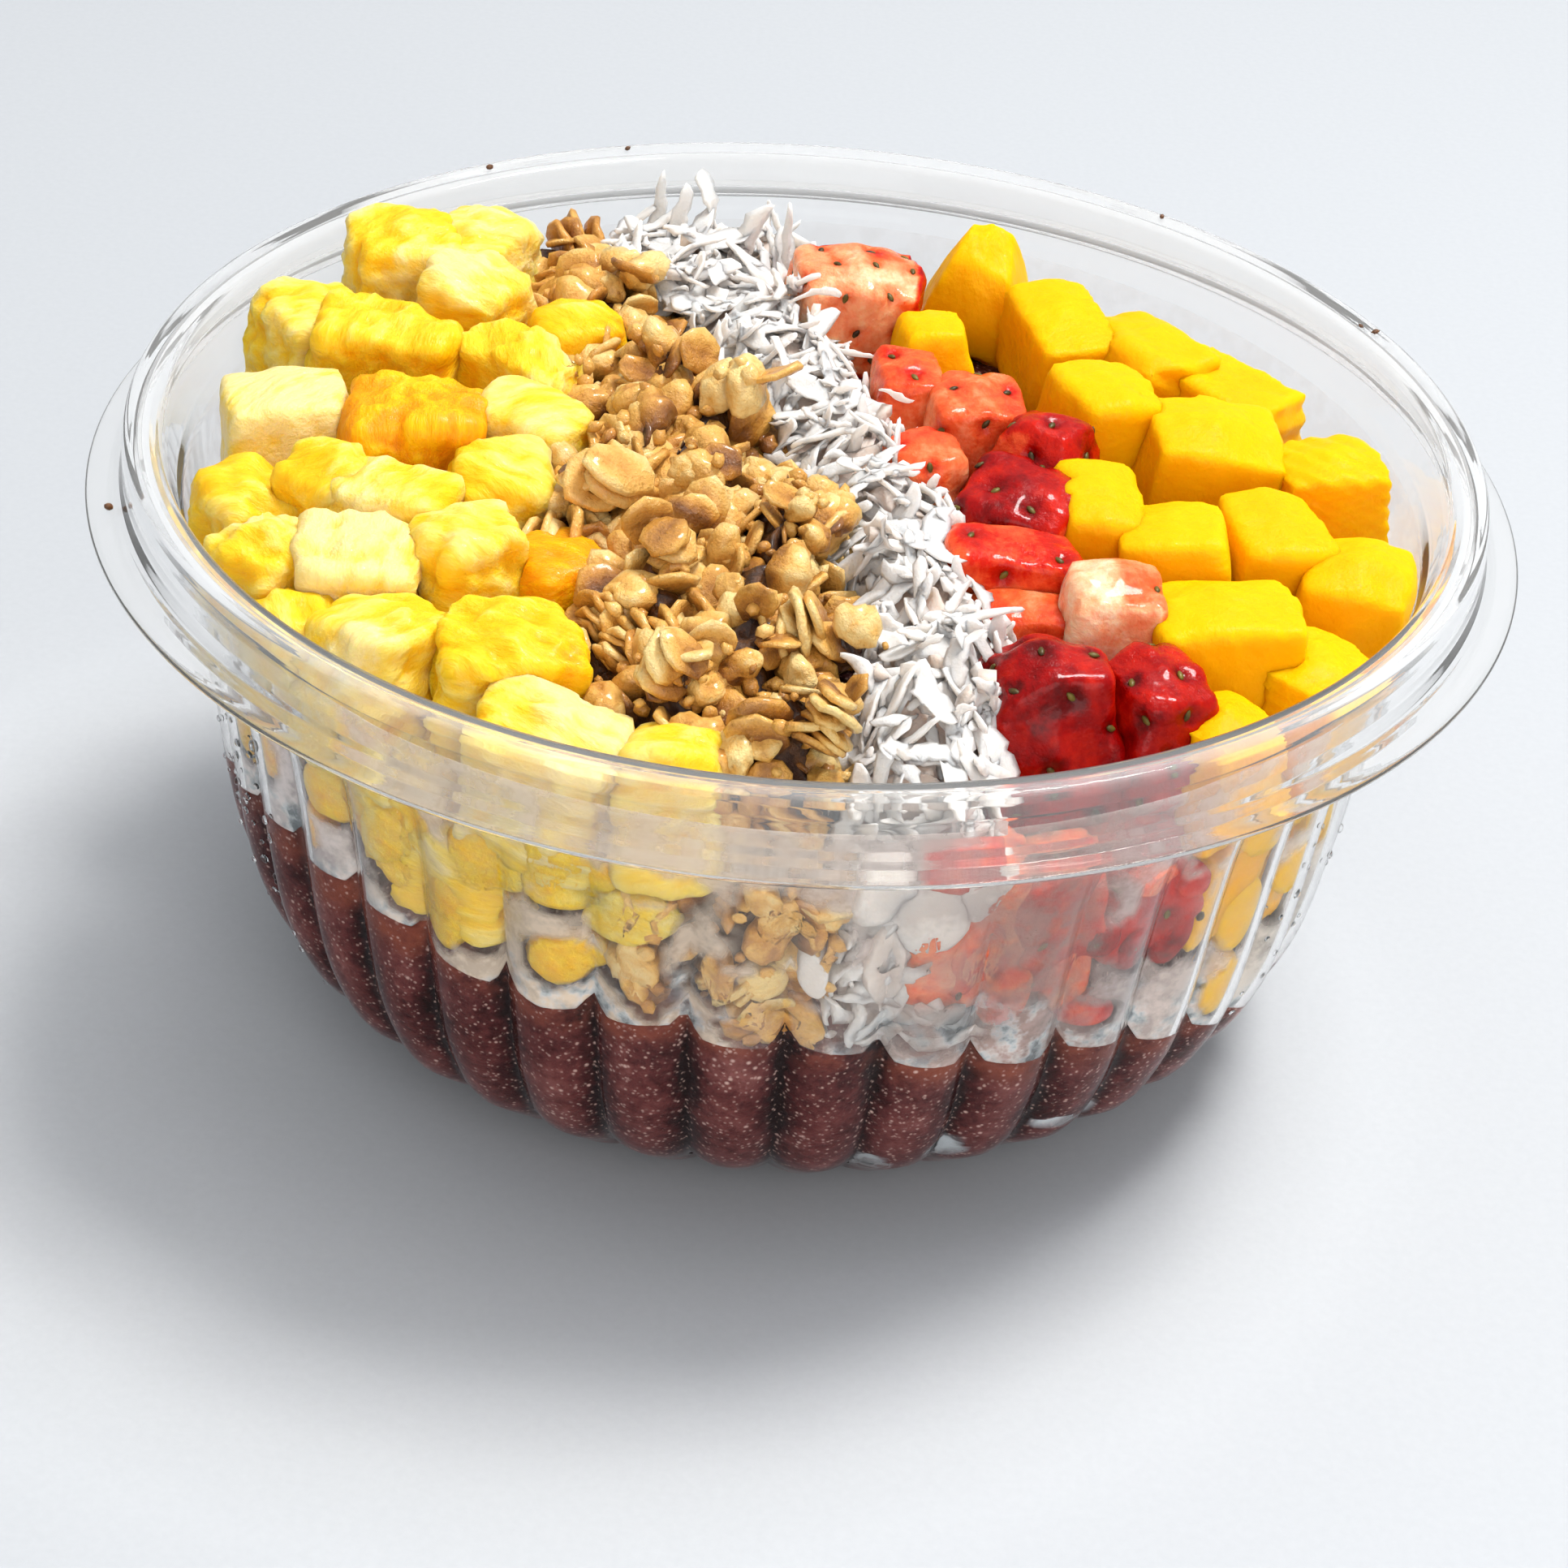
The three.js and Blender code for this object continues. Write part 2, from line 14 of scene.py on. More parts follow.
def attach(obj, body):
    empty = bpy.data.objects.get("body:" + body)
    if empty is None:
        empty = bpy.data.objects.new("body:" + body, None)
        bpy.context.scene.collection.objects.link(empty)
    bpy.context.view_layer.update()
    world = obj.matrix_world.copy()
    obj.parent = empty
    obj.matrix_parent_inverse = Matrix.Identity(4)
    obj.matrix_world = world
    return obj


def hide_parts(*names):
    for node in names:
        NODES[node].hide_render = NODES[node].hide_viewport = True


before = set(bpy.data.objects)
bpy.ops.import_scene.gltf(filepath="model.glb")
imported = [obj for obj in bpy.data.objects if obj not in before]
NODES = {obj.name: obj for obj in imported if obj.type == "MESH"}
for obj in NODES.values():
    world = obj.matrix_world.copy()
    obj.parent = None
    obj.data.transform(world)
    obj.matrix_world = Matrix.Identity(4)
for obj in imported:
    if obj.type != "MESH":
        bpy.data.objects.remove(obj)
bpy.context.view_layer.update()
MM = 0.001

# ---------------------------------------------------------------- sizes shared with the part

SHEET = 0.8
FLUTES = 40
FIRST_CREASE = 2.0  # degrees from the front towards +X
CREASE_DEPTH = 2.0
FLANGE_RADIUS = 80.0
FLANGE_HEIGHT = 64.0
COLLAR_RADIUS = 75.9
LIP_RADIUS = 71.9
NECK_RADIUS = 70.5  # outside of the wall at the flange
RIM_HEIGHT = 71.2

# Outside of the fluted body: height, radius over the lobes, and how deep the creases are there.
BODY = np.array([
    (0.0, 43.0, 0.0), (1.7, 44.6, 0.0), (3.0, 48.6, 0.6), (6.8, 53.6, 1.0), (13.0, 60.0, 1.0),
    (25.0, 64.6, 1.0), (50.0, 68.0, 0.6), (58.0, 69.6, 0.0), (FLANGE_HEIGHT, NECK_RADIUS, 0.0),
])
# Height of the acai at the wall, by the angle from the front towards +X.
ACAI_AT_WALL = np.array([
    (-180, 42), (-110, 36), (-75, 33), (-60, 36.6), (-38, 36.4), (-30, 34.8), (-21, 32.6), (-10, 34.2),
    (-2, 34.2), (8, 32.8), (16, 31.4), (26, 29.8), (34, 28.2), (45, 25.2), (52, 22), (62, 17.5), (80, 20),
    (120, 32), (180, 42),
], float)
TOPPING_DEPTH = 11.0
SHOULDER_RADIUS = 47.0
TOP_MIDDLE = 73.0
TOP_FALL = 5.0
TOP_LEAN = 0.04
RING_STEPS = FLUTES * 11  # points round a ring of the bowl or of the acai

# ---------------------------------------------------------------- small helpers


def smoothstep(value, low, high):
    """0 below low, 1 above high, and a smooth rise between them."""
    share = np.clip((np.asarray(value, float) - low) / (high - low), 0, 1)
    return share * share * (3 - 2 * share)


def monotone(at, x, y):
    """A smooth curve through rising x, which keeps between neighbouring y values."""
    step = np.diff(x)
    slope = np.diff(y) / step
    bend = np.zeros(len(x))
    both = slope[1:] * slope[:-1]
    safe = np.where(both > 0, slope[1:] + slope[:-1], 1)
    bend[1:-1] = np.where(both > 0, 2 * both / safe, 0)
    bend[0], bend[-1] = slope[0], slope[-1]
    k = np.clip(np.searchsorted(x, at) - 1, 0, len(x) - 2)
    t = np.clip((at - x[k]) / step[k], 0, 1)
    return (
        y[k] * (1 + 2 * t) * (1 - t) ** 2 + step[k] * bend[k] * t * (1 - t) ** 2
        + y[k + 1] * t * t * (3 - 2 * t) - step[k] * bend[k + 1] * t * t * (1 - t)
    )


def soft_noise(points, size, seed):
    """Smooth noise from -1 to 1: random values on a cubic lattice with that spacing, blended."""
    place = np.asarray(points, float) / size + 1000
    cell = np.floor(place).astype(np.int64)
    share = place - cell
    share = share * share * (3 - 2 * share)
    total = np.zeros(len(place))
    for corner in np.ndindex(2, 2, 2):
        key = (cell + corner) @ np.array([73856093, 19349663, 83492791]) + seed * 2654435761
        key = (key ^ (key >> 15)) * 2246822519 & 0xFFFFFFFF
        key = (key ^ (key >> 13)) * 3266489917 & 0xFFFFFFFF
        value = (key ^ (key >> 16)) / 0x7FFFFFFF - 1
        total += value * np.prod(np.where(corner, share, 1 - share), axis=1)
    return total


def angle_of(points):
    """Degrees from the front towards +X."""
    return np.degrees(np.arctan2(points[..., 0], -points[..., 1]))


def radius_of(points):
    return np.hypot(points[..., 0], points[..., 1])


def polar(radius, angle, z):
    turn = np.radians(angle)
    return np.stack(np.broadcast_arrays(radius * np.sin(turn), -radius * np.cos(turn), z), -1).astype(float)


def crease(angle):
    """0 on the crown of a lobe and 1 in a crease."""
    turns = (np.asarray(angle) - FIRST_CREASE) * FLUTES / 360
    return (2 * (turns - np.floor(turns)) - 1) ** 2


def body_radius(z, inwards):
    """Radius over the lobes at a height, for the outside moved inwards square to its slope."""
    radius = monotone(z, BODY[:, 0], BODY[:, 1])
    rise = (monotone(z + 0.2, BODY[:, 0], BODY[:, 1]) - monotone(z - 0.2, BODY[:, 0], BODY[:, 1])) / 0.4
    return radius - inwards * np.hypot(1, rise)


def crease_share(z):
    return monotone(z, BODY[:, 0], BODY[:, 2])


def wall_radius(angle, z, inwards):
    """Radius of the fluted wall, moved inwards. Above the flange it widens to the lip."""
    low = np.minimum(z, FLANGE_HEIGHT)
    flare = (LIP_RADIUS - NECK_RADIUS + 0.2) * smoothstep(z, FLANGE_HEIGHT, RIM_HEIGHT - 1)
    return body_radius(low, inwards) - crease_share(low) * CREASE_DEPTH * crease(angle) + flare


def on_wall(angle, z, inwards=0.0):
    """Points on the outside of the fluted wall, moved inwards."""
    return polar(wall_radius(angle, z, inwards), angle, z)


def angles_round(steps):
    """The angles of evenly spaced points round the bowl, from the first crease on."""
    return FIRST_CREASE + np.arange(steps) * 360 / steps


def toppings_top(x, y):
    out = np.minimum(np.hypot(x, y) / LIP_RADIUS, 1)
    return TOP_MIDDLE - TOP_LEAN * x - TOP_FALL * out * out


def acai_at_wall(angle):
    around = (np.asarray(angle) + 180) % 360 - 180
    return np.interp(around, ACAI_AT_WALL[:, 0], ACAI_AT_WALL[:, 1])


def ring_quads(starts, around):
    """Faces between neighbouring rings, each given by the number of its first point."""
    i = np.arange(around)
    j = (i + 1) % around
    low, high = np.array(starts[:-1])[:, None], np.array(starts[1:])[:, None]
    return np.stack([low + i, low + j, high + j, high + i], -1).reshape(-1, 4).tolist()


def ring_stack(rings, first, last):
    """Points and faces of rings with the same count of points, closed by a point at each end."""
    around = len(rings[0])
    points = np.vstack([[first], np.concatenate(rings), [last]])
    end = len(points) - 1
    i = np.arange(around)
    j = (i + 1) % around
    bottom = np.stack([0 * i, 1 + j, 1 + i], -1)
    top = np.stack([end + 0 * i, end - around + i, end - around + j], -1)
    return points, ring_quads(range(1, end, around), around) + bottom.tolist() + top.tolist()


def merged(parts):
    """Several shapes as one: their points, their faces and any values that follow these."""
    faces, start = [], 0
    for part in parts:
        faces += [[start + i for i in face] for face in part[1]]
        start += len(part[0])
    columns = list(zip(*parts))
    return np.vstack(columns[0]), faces, *[np.concatenate(column) for column in columns[2:]]


def oval(around, wide, foot_shade, height):
    """A level ring of points about Z, with those half widths along X and Y."""
    turns = np.linspace(0, math.tau, around, endpoint=False)
    return np.stack([wide * np.cos(turns), foot_shade * np.sin(turns), np.full(around, float(height))], -1)


def ball(around, rows, wide, foot_shade, long):
    """Points and faces of an egg of level rings, from -long to long along Z."""
    rings = []
    for k in range(1, rows):
        tilt = math.pi * k / rows
        rings.append(oval(around, wide * math.sin(tilt), foot_shade * math.sin(tilt), -long * math.cos(tilt)))
    return ring_stack(rings, (0, 0, -long), (0, 0, long))


def new_object(name, data):
    obj = bpy.data.objects.new(name, data)
    bpy.context.scene.collection.objects.link(obj)
    return obj


def new_mesh(name, points, faces, materials):
    """A mesh from points in millimetres."""
    mesh = bpy.data.meshes.new(name)
    mesh.from_pydata((np.asarray(points) * MM).tolist(), [], faces)
    for material in materials:
        mesh.materials.append(material)
    return mesh


def add_piece(name, points, faces, materials, slot, nodes=(), values=None, second=0):
    """A mesh that rides on the part and may stand for CAD nodes.

    The values are kept for its points, and that many of its last faces have the second material.
    """
    mesh = new_mesh(name, points, faces, materials)
    mesh.polygons.foreach_set("use_smooth", np.full(len(faces), True))
    if second:
        index = np.repeat([0, 1], [len(faces) - second, second])
        mesh.polygons.foreach_set("material_index", index.astype(np.int32))
    for key, value in (values or {}).items():
        value = np.asarray(value, np.float32)
        vector = value.ndim == 2
        attribute = mesh.attributes.new(key, "FLOAT_VECTOR" if vector else "FLOAT", "POINT")
        attribute.data.foreach_set("vector" if vector else "value", value.ravel())
    piece = new_object(name, mesh)
    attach(piece, "root")
    if nodes:
        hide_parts(*nodes)


def meshed(node, voxel, smoothing):
    """Points, faces and normals of a CAD node, meshed finely and evenly."""
    source = NODES[node].data.copy()
    holder = new_object("holder", source)
    weld = holder.modifiers.new("weld", "WELD")
    weld.merge_threshold = 1e-6
    voxels = holder.modifiers.new("voxels", "REMESH")
    voxels.mode = "VOXEL"
    voxels.voxel_size = voxel * MM
    relax = holder.modifiers.new("relax", "SMOOTH")
    relax.factor = 0.5
    relax.iterations = smoothing
    evaluated = holder.evaluated_get(bpy.context.evaluated_depsgraph_get())
    mesh = bpy.data.meshes.new_from_object(evaluated)
    points, normals = np.empty((2, 3 * len(mesh.vertices)), np.float32)
    mesh.vertices.foreach_get("co", points)
    mesh.vertices.foreach_get("normal", normals)
    faces = [list(face.vertices) for face in mesh.polygons]
    bpy.data.objects.remove(holder)
    bpy.data.meshes.remove(source)
    bpy.data.meshes.remove(mesh)
    return points.reshape(-1, 3).astype(float) / MM, faces, normals.reshape(-1, 3).astype(float)


def turned(draw, tilt=math.pi):
    """A seeded rotation: any turn about Z, tipped by up to tilt."""
    about_x = Matrix.Rotation(draw.uniform(-tilt, tilt), 3, "X")
    about_y = Matrix.Rotation(draw.uniform(-tilt, tilt), 3, "Y")
    return np.array(about_x @ about_y @ Matrix.Rotation(draw.uniform(0, math.tau), 3, "Z"))


# ---------------------------------------------------------------- materials


class Shader:
    """A new material whose nodes are added one by one, with their inputs given by name."""

    def __init__(self, name):
        self.material = bpy.data.materials.new(name)
        self.material.use_nodes = True
        self.tree = self.material.node_tree
        self.tree.nodes.clear()

    def add(self, kind, inputs=None, **settings):
        node = self.tree.nodes.new("ShaderNode" + kind)
        for key, value in settings.items():
            setattr(node, key, value)
        for key, value in (inputs or {}).items():
            self.set(node.inputs[key], value)
        return node

    def set(self, socket, value):
        if isinstance(value, bpy.types.NodeSocket):
            self.tree.links.new(value, socket)
        else:
            socket.default_value = value

    def stored(self, key, output="Fac"):
        """What a mesh keeps for each of its points."""
        return self.add("Attribute", attribute_name=key).outputs[output]

    def math(self, operation, first, second=0.0, third=0.0):
        node = self.add("Math", operation=operation)
        for socket, value in zip(node.inputs, (first, second, third)):
            self.set(socket, value)
        return node.outputs[0]

    def swing(self, noise, amount, value):
        """The value, moved up and down by a noise."""
        return self.math("MULTIPLY_ADD", self.math("SUBTRACT", noise, 0.5), amount, value)

    def noise(self, where, scale, detail=3.0, roughness=0.6):
        inputs = {"Vector": where, "Scale": scale, "Detail": detail, "Roughness": roughness}
        return self.add("TexNoise", inputs).outputs["Fac"]

    def cells(self, where, scale):
        """Distance from the middle of the nearest cell of a random pattern."""
        inputs = {"Vector": where, "Scale": scale, "Randomness": 1.0}
        return self.add("TexVoronoi", inputs).outputs["Distance"]

    def ramp(self, factor, stops):
        node = self.add("ValToRGB", {"Fac": factor})
        ends = node.color_ramp.elements[0], node.color_ramp.elements[1]
        ends[0].position, ends[1].position = stops[0][0], stops[-1][0]
        ends[0].color, ends[1].color = (*stops[0][1], 1), (*stops[-1][1], 1)
        for position, colour in stops[1:-1]:
            node.color_ramp.elements.new(position).color = (*colour, 1)
        return node.outputs["Color"]

    def range(self, value, low, high, to_low=0.0, to_high=1.0):
        return self.add("MapRange", {
            "Value": value, "From Min": low, "From Max": high, "To Min": to_low, "To Max": to_high,
        }).outputs["Result"]

    def mix(self, factor, first, second):
        node = self.add("Mix", data_type="RGBA")
        for socket, value in ((0, factor), (6, first), (7, second)):  # the sockets of a mix of colours
            self.set(node.inputs[socket], (*value, 1) if isinstance(value, tuple) else value)
        return node.outputs[2]

    def bump(self, height, strength, distance_mm, under=None):
        inputs = {"Height": height, "Strength": strength, "Distance": distance_mm * MM}
        if under is not None:
            inputs["Normal"] = under
        return self.add("Bump", inputs).outputs["Normal"]

    def finish(self, shader):
        output = self.add("OutputMaterial")
        self.tree.links.new(shader.outputs[0], output.inputs["Surface"])
        return self.material

    def surface(self, inputs):
        return self.finish(self.add("BsdfPrincipled", inputs))

    def where(self):
        """The place in the part's frame, in millimetres."""
        place_node = self.add("TexCoord").outputs["Object"]
        return self.add("VectorMath", {0: place_node, "Scale": 1 / MM}, operation="SCALE").outputs[0]


def fruit_material(name, stops, mottle_and_pulp_light, pulp_size, dent, scatter_mm, rough, gloss, coat):
    """Wet cut fruit: colour by the stored tone, with painted light that makes the tips of its pulp paler
    and painted shade in its hollows, lit a little from inside.
    """
    s = Shader(name)
    grain = s.stored("grain", "Vector")
    tone = s.stored("tone")
    cloud = s.noise(grain, 0.32, 4.0)
    pulp = s.noise(grain, pulp_size, 4.0)
    # Random mottle, and painted light: paler where the pulp rises, darker where it sinks.
    level = s.swing(pulp, -mottle_and_pulp_light, s.swing(cloud, mottle_and_pulp_light, tone))
    fine = s.noise(grain, pulp_size * 2.6, 3.0)
    normal = s.bump(fine, 0.5, 0.4 * dent, s.bump(pulp, 0.7, dent))
    return s.surface({
        "Base Color": s.ramp(level, stops), "Roughness": s.range(cloud, 0.3, 0.7, rough[0], rough[1]),
        "Subsurface Weight": 0.6, "Subsurface Radius": scatter_mm, "Subsurface Scale": MM,
        "Specular IOR Level": gloss, "Coat Weight": coat, "Coat Roughness": 0.07, "Normal": normal,
    })


def pineapple_material():
    stops = [
        (0.0, (0.98, 0.73, 0.29)), (0.22, (0.98, 0.67, 0.13)), (0.45, (0.98, 0.58, 0.02)),
        (0.75, (0.97, 0.48, 0.002)), (1.0, (0.86, 0.32, 0.002)),
    ]
    return fruit_material("pineapple_flesh", stops, 0.8, 0.8, 1.0, (3.2, 2.7, 0.7), (0.3, 0.55), 0.16, 0.04)


def mango_material():
    stops = [(0.0, (0.98, 0.49, 0.001)), (0.5, (0.98, 0.43, 0.001)), (1.0, (0.94, 0.31, 0.001))]
    return fruit_material("mango_flesh", stops, 0.3, 0.45, 0.5, (3.6, 3.2, 0.3), (0.34, 0.55), 0.06, 0.01)


def strawberry_material():
    stops = [
        (0.0, (0.98, 0.69, 0.44)), (0.18, (0.95, 0.36, 0.17)), (0.4, (0.84, 0.125, 0.032)),
        (0.62, (0.58, 0.012, 0.002)), (0.85, (0.30, 0.001, 0.001)), (1.0, (0.12, 0.001, 0.001)),
    ]
    scatter_mm = (1.6, 0.4, 0.2)
    return fruit_material("strawberry_flesh", stops, 0.4, 0.8, 0.6, scatter_mm, (0.08, 0.24), 0.08, 0.24)


def seed_material():
    s = Shader("strawberry_seed")
    colour = s.ramp(s.noise(s.where(), 0.45), [(0.35, (0.030, 0.014, 0.006)), (0.7, (0.20, 0.15, 0.02))])
    return s.surface({"Base Color": colour, "Roughness": 0.4, "Specular IOR Level": 0.3})


def granola_material():
    s = Shader("granola_baked")
    grain = s.stored("grain", "Vector")
    tone = s.stored("tone")
    cloud = s.noise(grain, 0.5, 4.0)
    bran = s.noise(grain, 2.6, 4.0, 0.7)
    colour = s.ramp(s.swing(bran, 0.3, s.swing(cloud, 0.5, tone)), [
        (0.0, (0.94, 0.68, 0.27)), (0.2, (0.86, 0.47, 0.10)), (0.42, (0.62, 0.27, 0.035)),
        (0.68, (0.29, 0.10, 0.012)), (1.0, (0.04, 0.010, 0.001)),
    ])
    normal = s.bump(bran, 0.7, 0.4, s.bump(cloud, 0.6, 1.0))
    return s.surface({
        "Base Color": colour, "Roughness": s.range(cloud, 0.3, 0.7, 0.24, 0.55),
        "Coat Weight": 0.4, "Coat Roughness": 0.16, "Normal": normal,
    })


def coconut_material():
    s = Shader("coconut_shredded")
    grain = s.stored("grain", "Vector")
    tone = s.stored("tone")
    fibre = s.noise(grain, 1.6, 4.0, 0.6)
    colour = s.ramp(s.swing(fibre, 0.3, tone), [
        (0.0, (0.84, 0.79, 0.74)), (0.4, (0.85, 0.75, 0.68)), (1.0, (0.76, 0.56, 0.46)),
    ])
    return s.surface({
        "Base Color": colour, "Roughness": s.range(fibre, 0.3, 0.7, 0.4, 0.6), "Specular IOR Level": 0.25,
        "Subsurface Weight": 0.7, "Subsurface Radius": (2.4, 2.0, 1.7), "Subsurface Scale": MM,
        "Normal": s.bump(fibre, 0.6, 0.35),
    })


def acai_material():
    """Frozen puree with pale specks, painted shade darkening it in the creases, and redder towards its
    upper edge.
    """
    s = Shader("acai_puree")
    where = s.where()
    cloud = s.noise(where, 0.13, 5.0, 0.65)
    grit = s.noise(where, 0.9, 3.0, 0.7)
    level = s.math("MULTIPLY_ADD", grit, 0.45, cloud)
    # Painted shade: the colour is darkened towards each crease between the lobes.
    level = s.math("MULTIPLY_ADD", s.stored("crease_shade"), -0.44, level)
    flesh = s.ramp(level, [
        (0.34, (0.008, 0.001, 0.001)), (0.54, (0.045, 0.006, 0.006)), (0.74, (0.126, 0.030, 0.028)),
        (1.0, (0.26, 0.090, 0.080)),
    ])
    edge = s.math("MULTIPLY", s.stored("edge"), s.range(cloud, 0.36, 0.62))
    flesh = s.mix(edge, flesh, (0.22, 0.052, 0.027))
    fine_specks = s.range(s.cells(where, 1.5), 0.12, 0.36, 0.8, 0.0)
    grains = s.range(s.cells(where, 0.62), 0.07, 0.2, 1.0, 0.0)
    dot = s.math("MULTIPLY", fine_specks, s.range(grit, 0.44, 0.56))
    dot = s.math("MAXIMUM", dot, s.math("MULTIPLY", grains, s.range(cloud, 0.47, 0.56)))
    colour = s.mix(dot, flesh, (0.54, 0.36, 0.31))
    colour = s.mix(s.stored("hollow"), colour, (0.62, 0.68, 0.72))
    normal = s.bump(grit, 0.6, 0.5, s.bump(cloud, 0.5, 1.2))
    return s.surface({
        "Base Color": colour, "Roughness": s.range(cloud, 0.3, 0.7, 0.35, 0.6), "Specular IOR Level": 0.14,
        "Normal": normal,
    })


LIP_HAZE = 0.1  # how much less clear the bead of the rim is


def clear_material(name, tint, roughness, ior, shadow, haze_at=None):
    """Clear plastic or water. Rays from the lamps pass through it, so that what is behind it is lit."""
    s = Shader(name)
    inputs = {"Base Color": (*tint, 1), "Roughness": roughness, "IOR": ior, "Transmission Weight": 1.0}
    if haze_at is not None:
        where = s.where()
        height = s.add("SeparateXYZ", {0: where}).outputs["Z"]
        lip = s.range(height, RIM_HEIGHT - 1.6, RIM_HEIGHT - 0.3, 0.0, LIP_HAZE)
        inputs["Transmission Weight"] = s.math("SUBTRACT", s.range(height, *haze_at), lip)
    clear = s.add("BsdfPrincipled", inputs)
    through = s.add("BsdfTransparent", {"Color": (*tint, 1)})
    lamp_ray = s.add("LightPath").outputs["Is Shadow Ray"]
    mixed = s.add("MixShader", {"Fac": s.math("MULTIPLY", lamp_ray, shadow)})
    s.tree.links.new(clear.outputs[0], mixed.inputs[1])
    s.tree.links.new(through.outputs[0], mixed.inputs[2])
    return s.finish(mixed)


def film_material():
    """Milky frost and smears on the inside of the wall, in ragged patches that are denser near the acai."""
    s = Shader("wall_frost")
    where = s.where()
    patch = s.noise(where, 0.22, 5.0, 0.6)
    blot = s.noise(where, 0.3, 4.0, 0.6)
    low = s.stored("low")
    tint = s.stored("tint", "Vector")
    cool = s.ramp(blot, [
        (0.35, (0.12, 0.16, 0.18)), (0.42, (0.48, 0.54, 0.57)), (0.50, (0.80, 0.76, 0.74)),
    ])
    cold = s.math("MULTIPLY", low, s.range(blot, 0.56, 0.46, 0.0, 0.9))
    dense = s.range(patch, 0.40, 0.56)
    most = s.math("MULTIPLY_ADD", low, 0.18, 0.74)
    least = s.math("MULTIPLY_ADD", low, 0.14, 0.34)
    level = s.math("MULTIPLY_ADD", dense, s.math("SUBTRACT", most, least), least)
    alpha = s.math("MULTIPLY", level, s.stored("veil"))
    return s.surface({
        "Base Color": s.mix(cold, tint, cool), "Roughness": 0.5, "Specular IOR Level": 0.2, "Alpha": alpha,
    })


def floor_material():
    s = Shader("studio_floor")
    grain = s.noise(s.where(), 0.9, 3.0)
    colour = s.ramp(grain, [(0.3, (0.475, 0.49, 0.513)), (0.7, (0.495, 0.51, 0.533))])
    return s.surface({"Base Color": colour, "Roughness": 0.6})


# ---------------------------------------------------------------- the bowl


def rounded(section, times):
    """An open line with its corners cut, keeping both ends."""
    line = np.asarray(section, float)
    for _ in range(times):
        a, b = line[:-1], line[1:]
        cuts = np.stack([0.75 * a + 0.25 * b, 0.25 * a + 0.75 * b], 1).reshape(-1, 2)
        line = np.vstack([line[:1], cuts, line[-1:]])
    return line


def held_flat(line, near):
    """Adds a point close to each end of a long step, so that smooth shading leaves its middle flat."""
    points = [line[0]]
    for a, b in zip(line[:-1], line[1:]):
        length = np.linalg.norm(b - a)
        if length > 3 * near:
            points += [a + (b - a) * near / length, b - (b - a) * near / length]
        points.append(b)
    return np.array(points)


def rim_section():
    """Radius and height round the hollow rim and the flange, from the wall's outside to the inner lip."""
    under_rim = RIM_HEIGHT - SHEET
    under_flange = FLANGE_HEIGHT - SHEET
    corner = 0.7
    return held_flat(rounded([
        (70.7, FLANGE_HEIGHT + 0.4),
        (LIP_RADIUS + 0.2, under_rim - 1.1),
        (COLLAR_RADIUS - SHEET - corner / 2, under_rim),
        (COLLAR_RADIUS - SHEET, under_flange + corner),
        (COLLAR_RADIUS - SHEET / 2, under_flange),
        (FLANGE_RADIUS, under_flange),
        (FLANGE_RADIUS, FLANGE_HEIGHT),
        (COLLAR_RADIUS + 0.2, FLANGE_HEIGHT + 0.1),
        (COLLAR_RADIUS, RIM_HEIGHT - corner),
        (COLLAR_RADIUS - corner, RIM_HEIGHT),
        (LIP_RADIUS + 0.4, RIM_HEIGHT - 0.5),
        (LIP_RADIUS - 0.4, RIM_HEIGHT - 1.3),
        (70.0, FLANGE_HEIGHT + 0.4),
    ], 2), 0.12)


FLOOR_RINGS = (12, 30, 41)  # radii of the rings in the flat base


def add_bowl():
    angles = angles_round(RING_STEPS)
    heights = np.concatenate([np.linspace(0, 8, 10), np.linspace(9, FLANGE_HEIGHT, 24)])
    outside = [on_wall(angles, z) for z in heights]
    rim = [polar(radius, angles, z) for radius, z in rim_section()]
    inside = [on_wall(angles, z, SHEET) for z in heights[::-1] if z > SHEET + 0.5]
    floor_out = [polar(radius, angles, 0.0) for radius in FLOOR_RINGS]
    floor_in = [polar(radius, angles, SHEET) for radius in (42.6, *FLOOR_RINGS[1::-1])]
    points, faces = ring_stack([*floor_out, *outside, *rim, *inside, *floor_in], (0, 0, 0), (0, 0, SHEET))
    haze_at = (52, 68, 1.0, 0.96)  # two heights, and how clear it is below the first and above the second
    clear = clear_material("clear_sheet", (0.985, 0.98, 0.97), 0.035, 1.2, 0.85, haze_at)
    add_piece("bowl_clear", points, faces, [clear], "bowl", ["bowl"])


# ---------------------------------------------------------------- the acai

# Air pockets at the foot of the lobes: angle, height, half width in degrees, half height.
POCKETS = [(12.6, 11.0, 2.0, 2.4), (20.4, 13.0, 2.4, 2.6), (32.8, 14.8, 2.5, 1.0), (37.4, 12.6, 2.2, 1.8)]


def lobe_draw(angle, seed):
    """A value from -1 to 1 that is the same all over a lobe."""
    lobe = np.floor((np.asarray(angle) - FIRST_CREASE) * FLUTES / 360)
    return soft_noise(np.stack([lobe * 7.3, lobe * 0 + seed, lobe * 0], -1), 1.0, seed)


def acai_edge(angle):
    """Height of the acai at the wall: it climbs in the creases and sags between them."""
    climb = smoothstep(crease(angle), 0.35, 1.0) * 2.4 - 1.2
    return acai_at_wall(angle) + climb + 1.2 * lobe_draw(angle, 3)


ACAI_TOP_RINGS = (0.985, 0.96, 0.93, 0.89, 0.84, 0.78, 0.71, 0.63, 0.54, 0.44, 0.33, 0.21, 0.1)


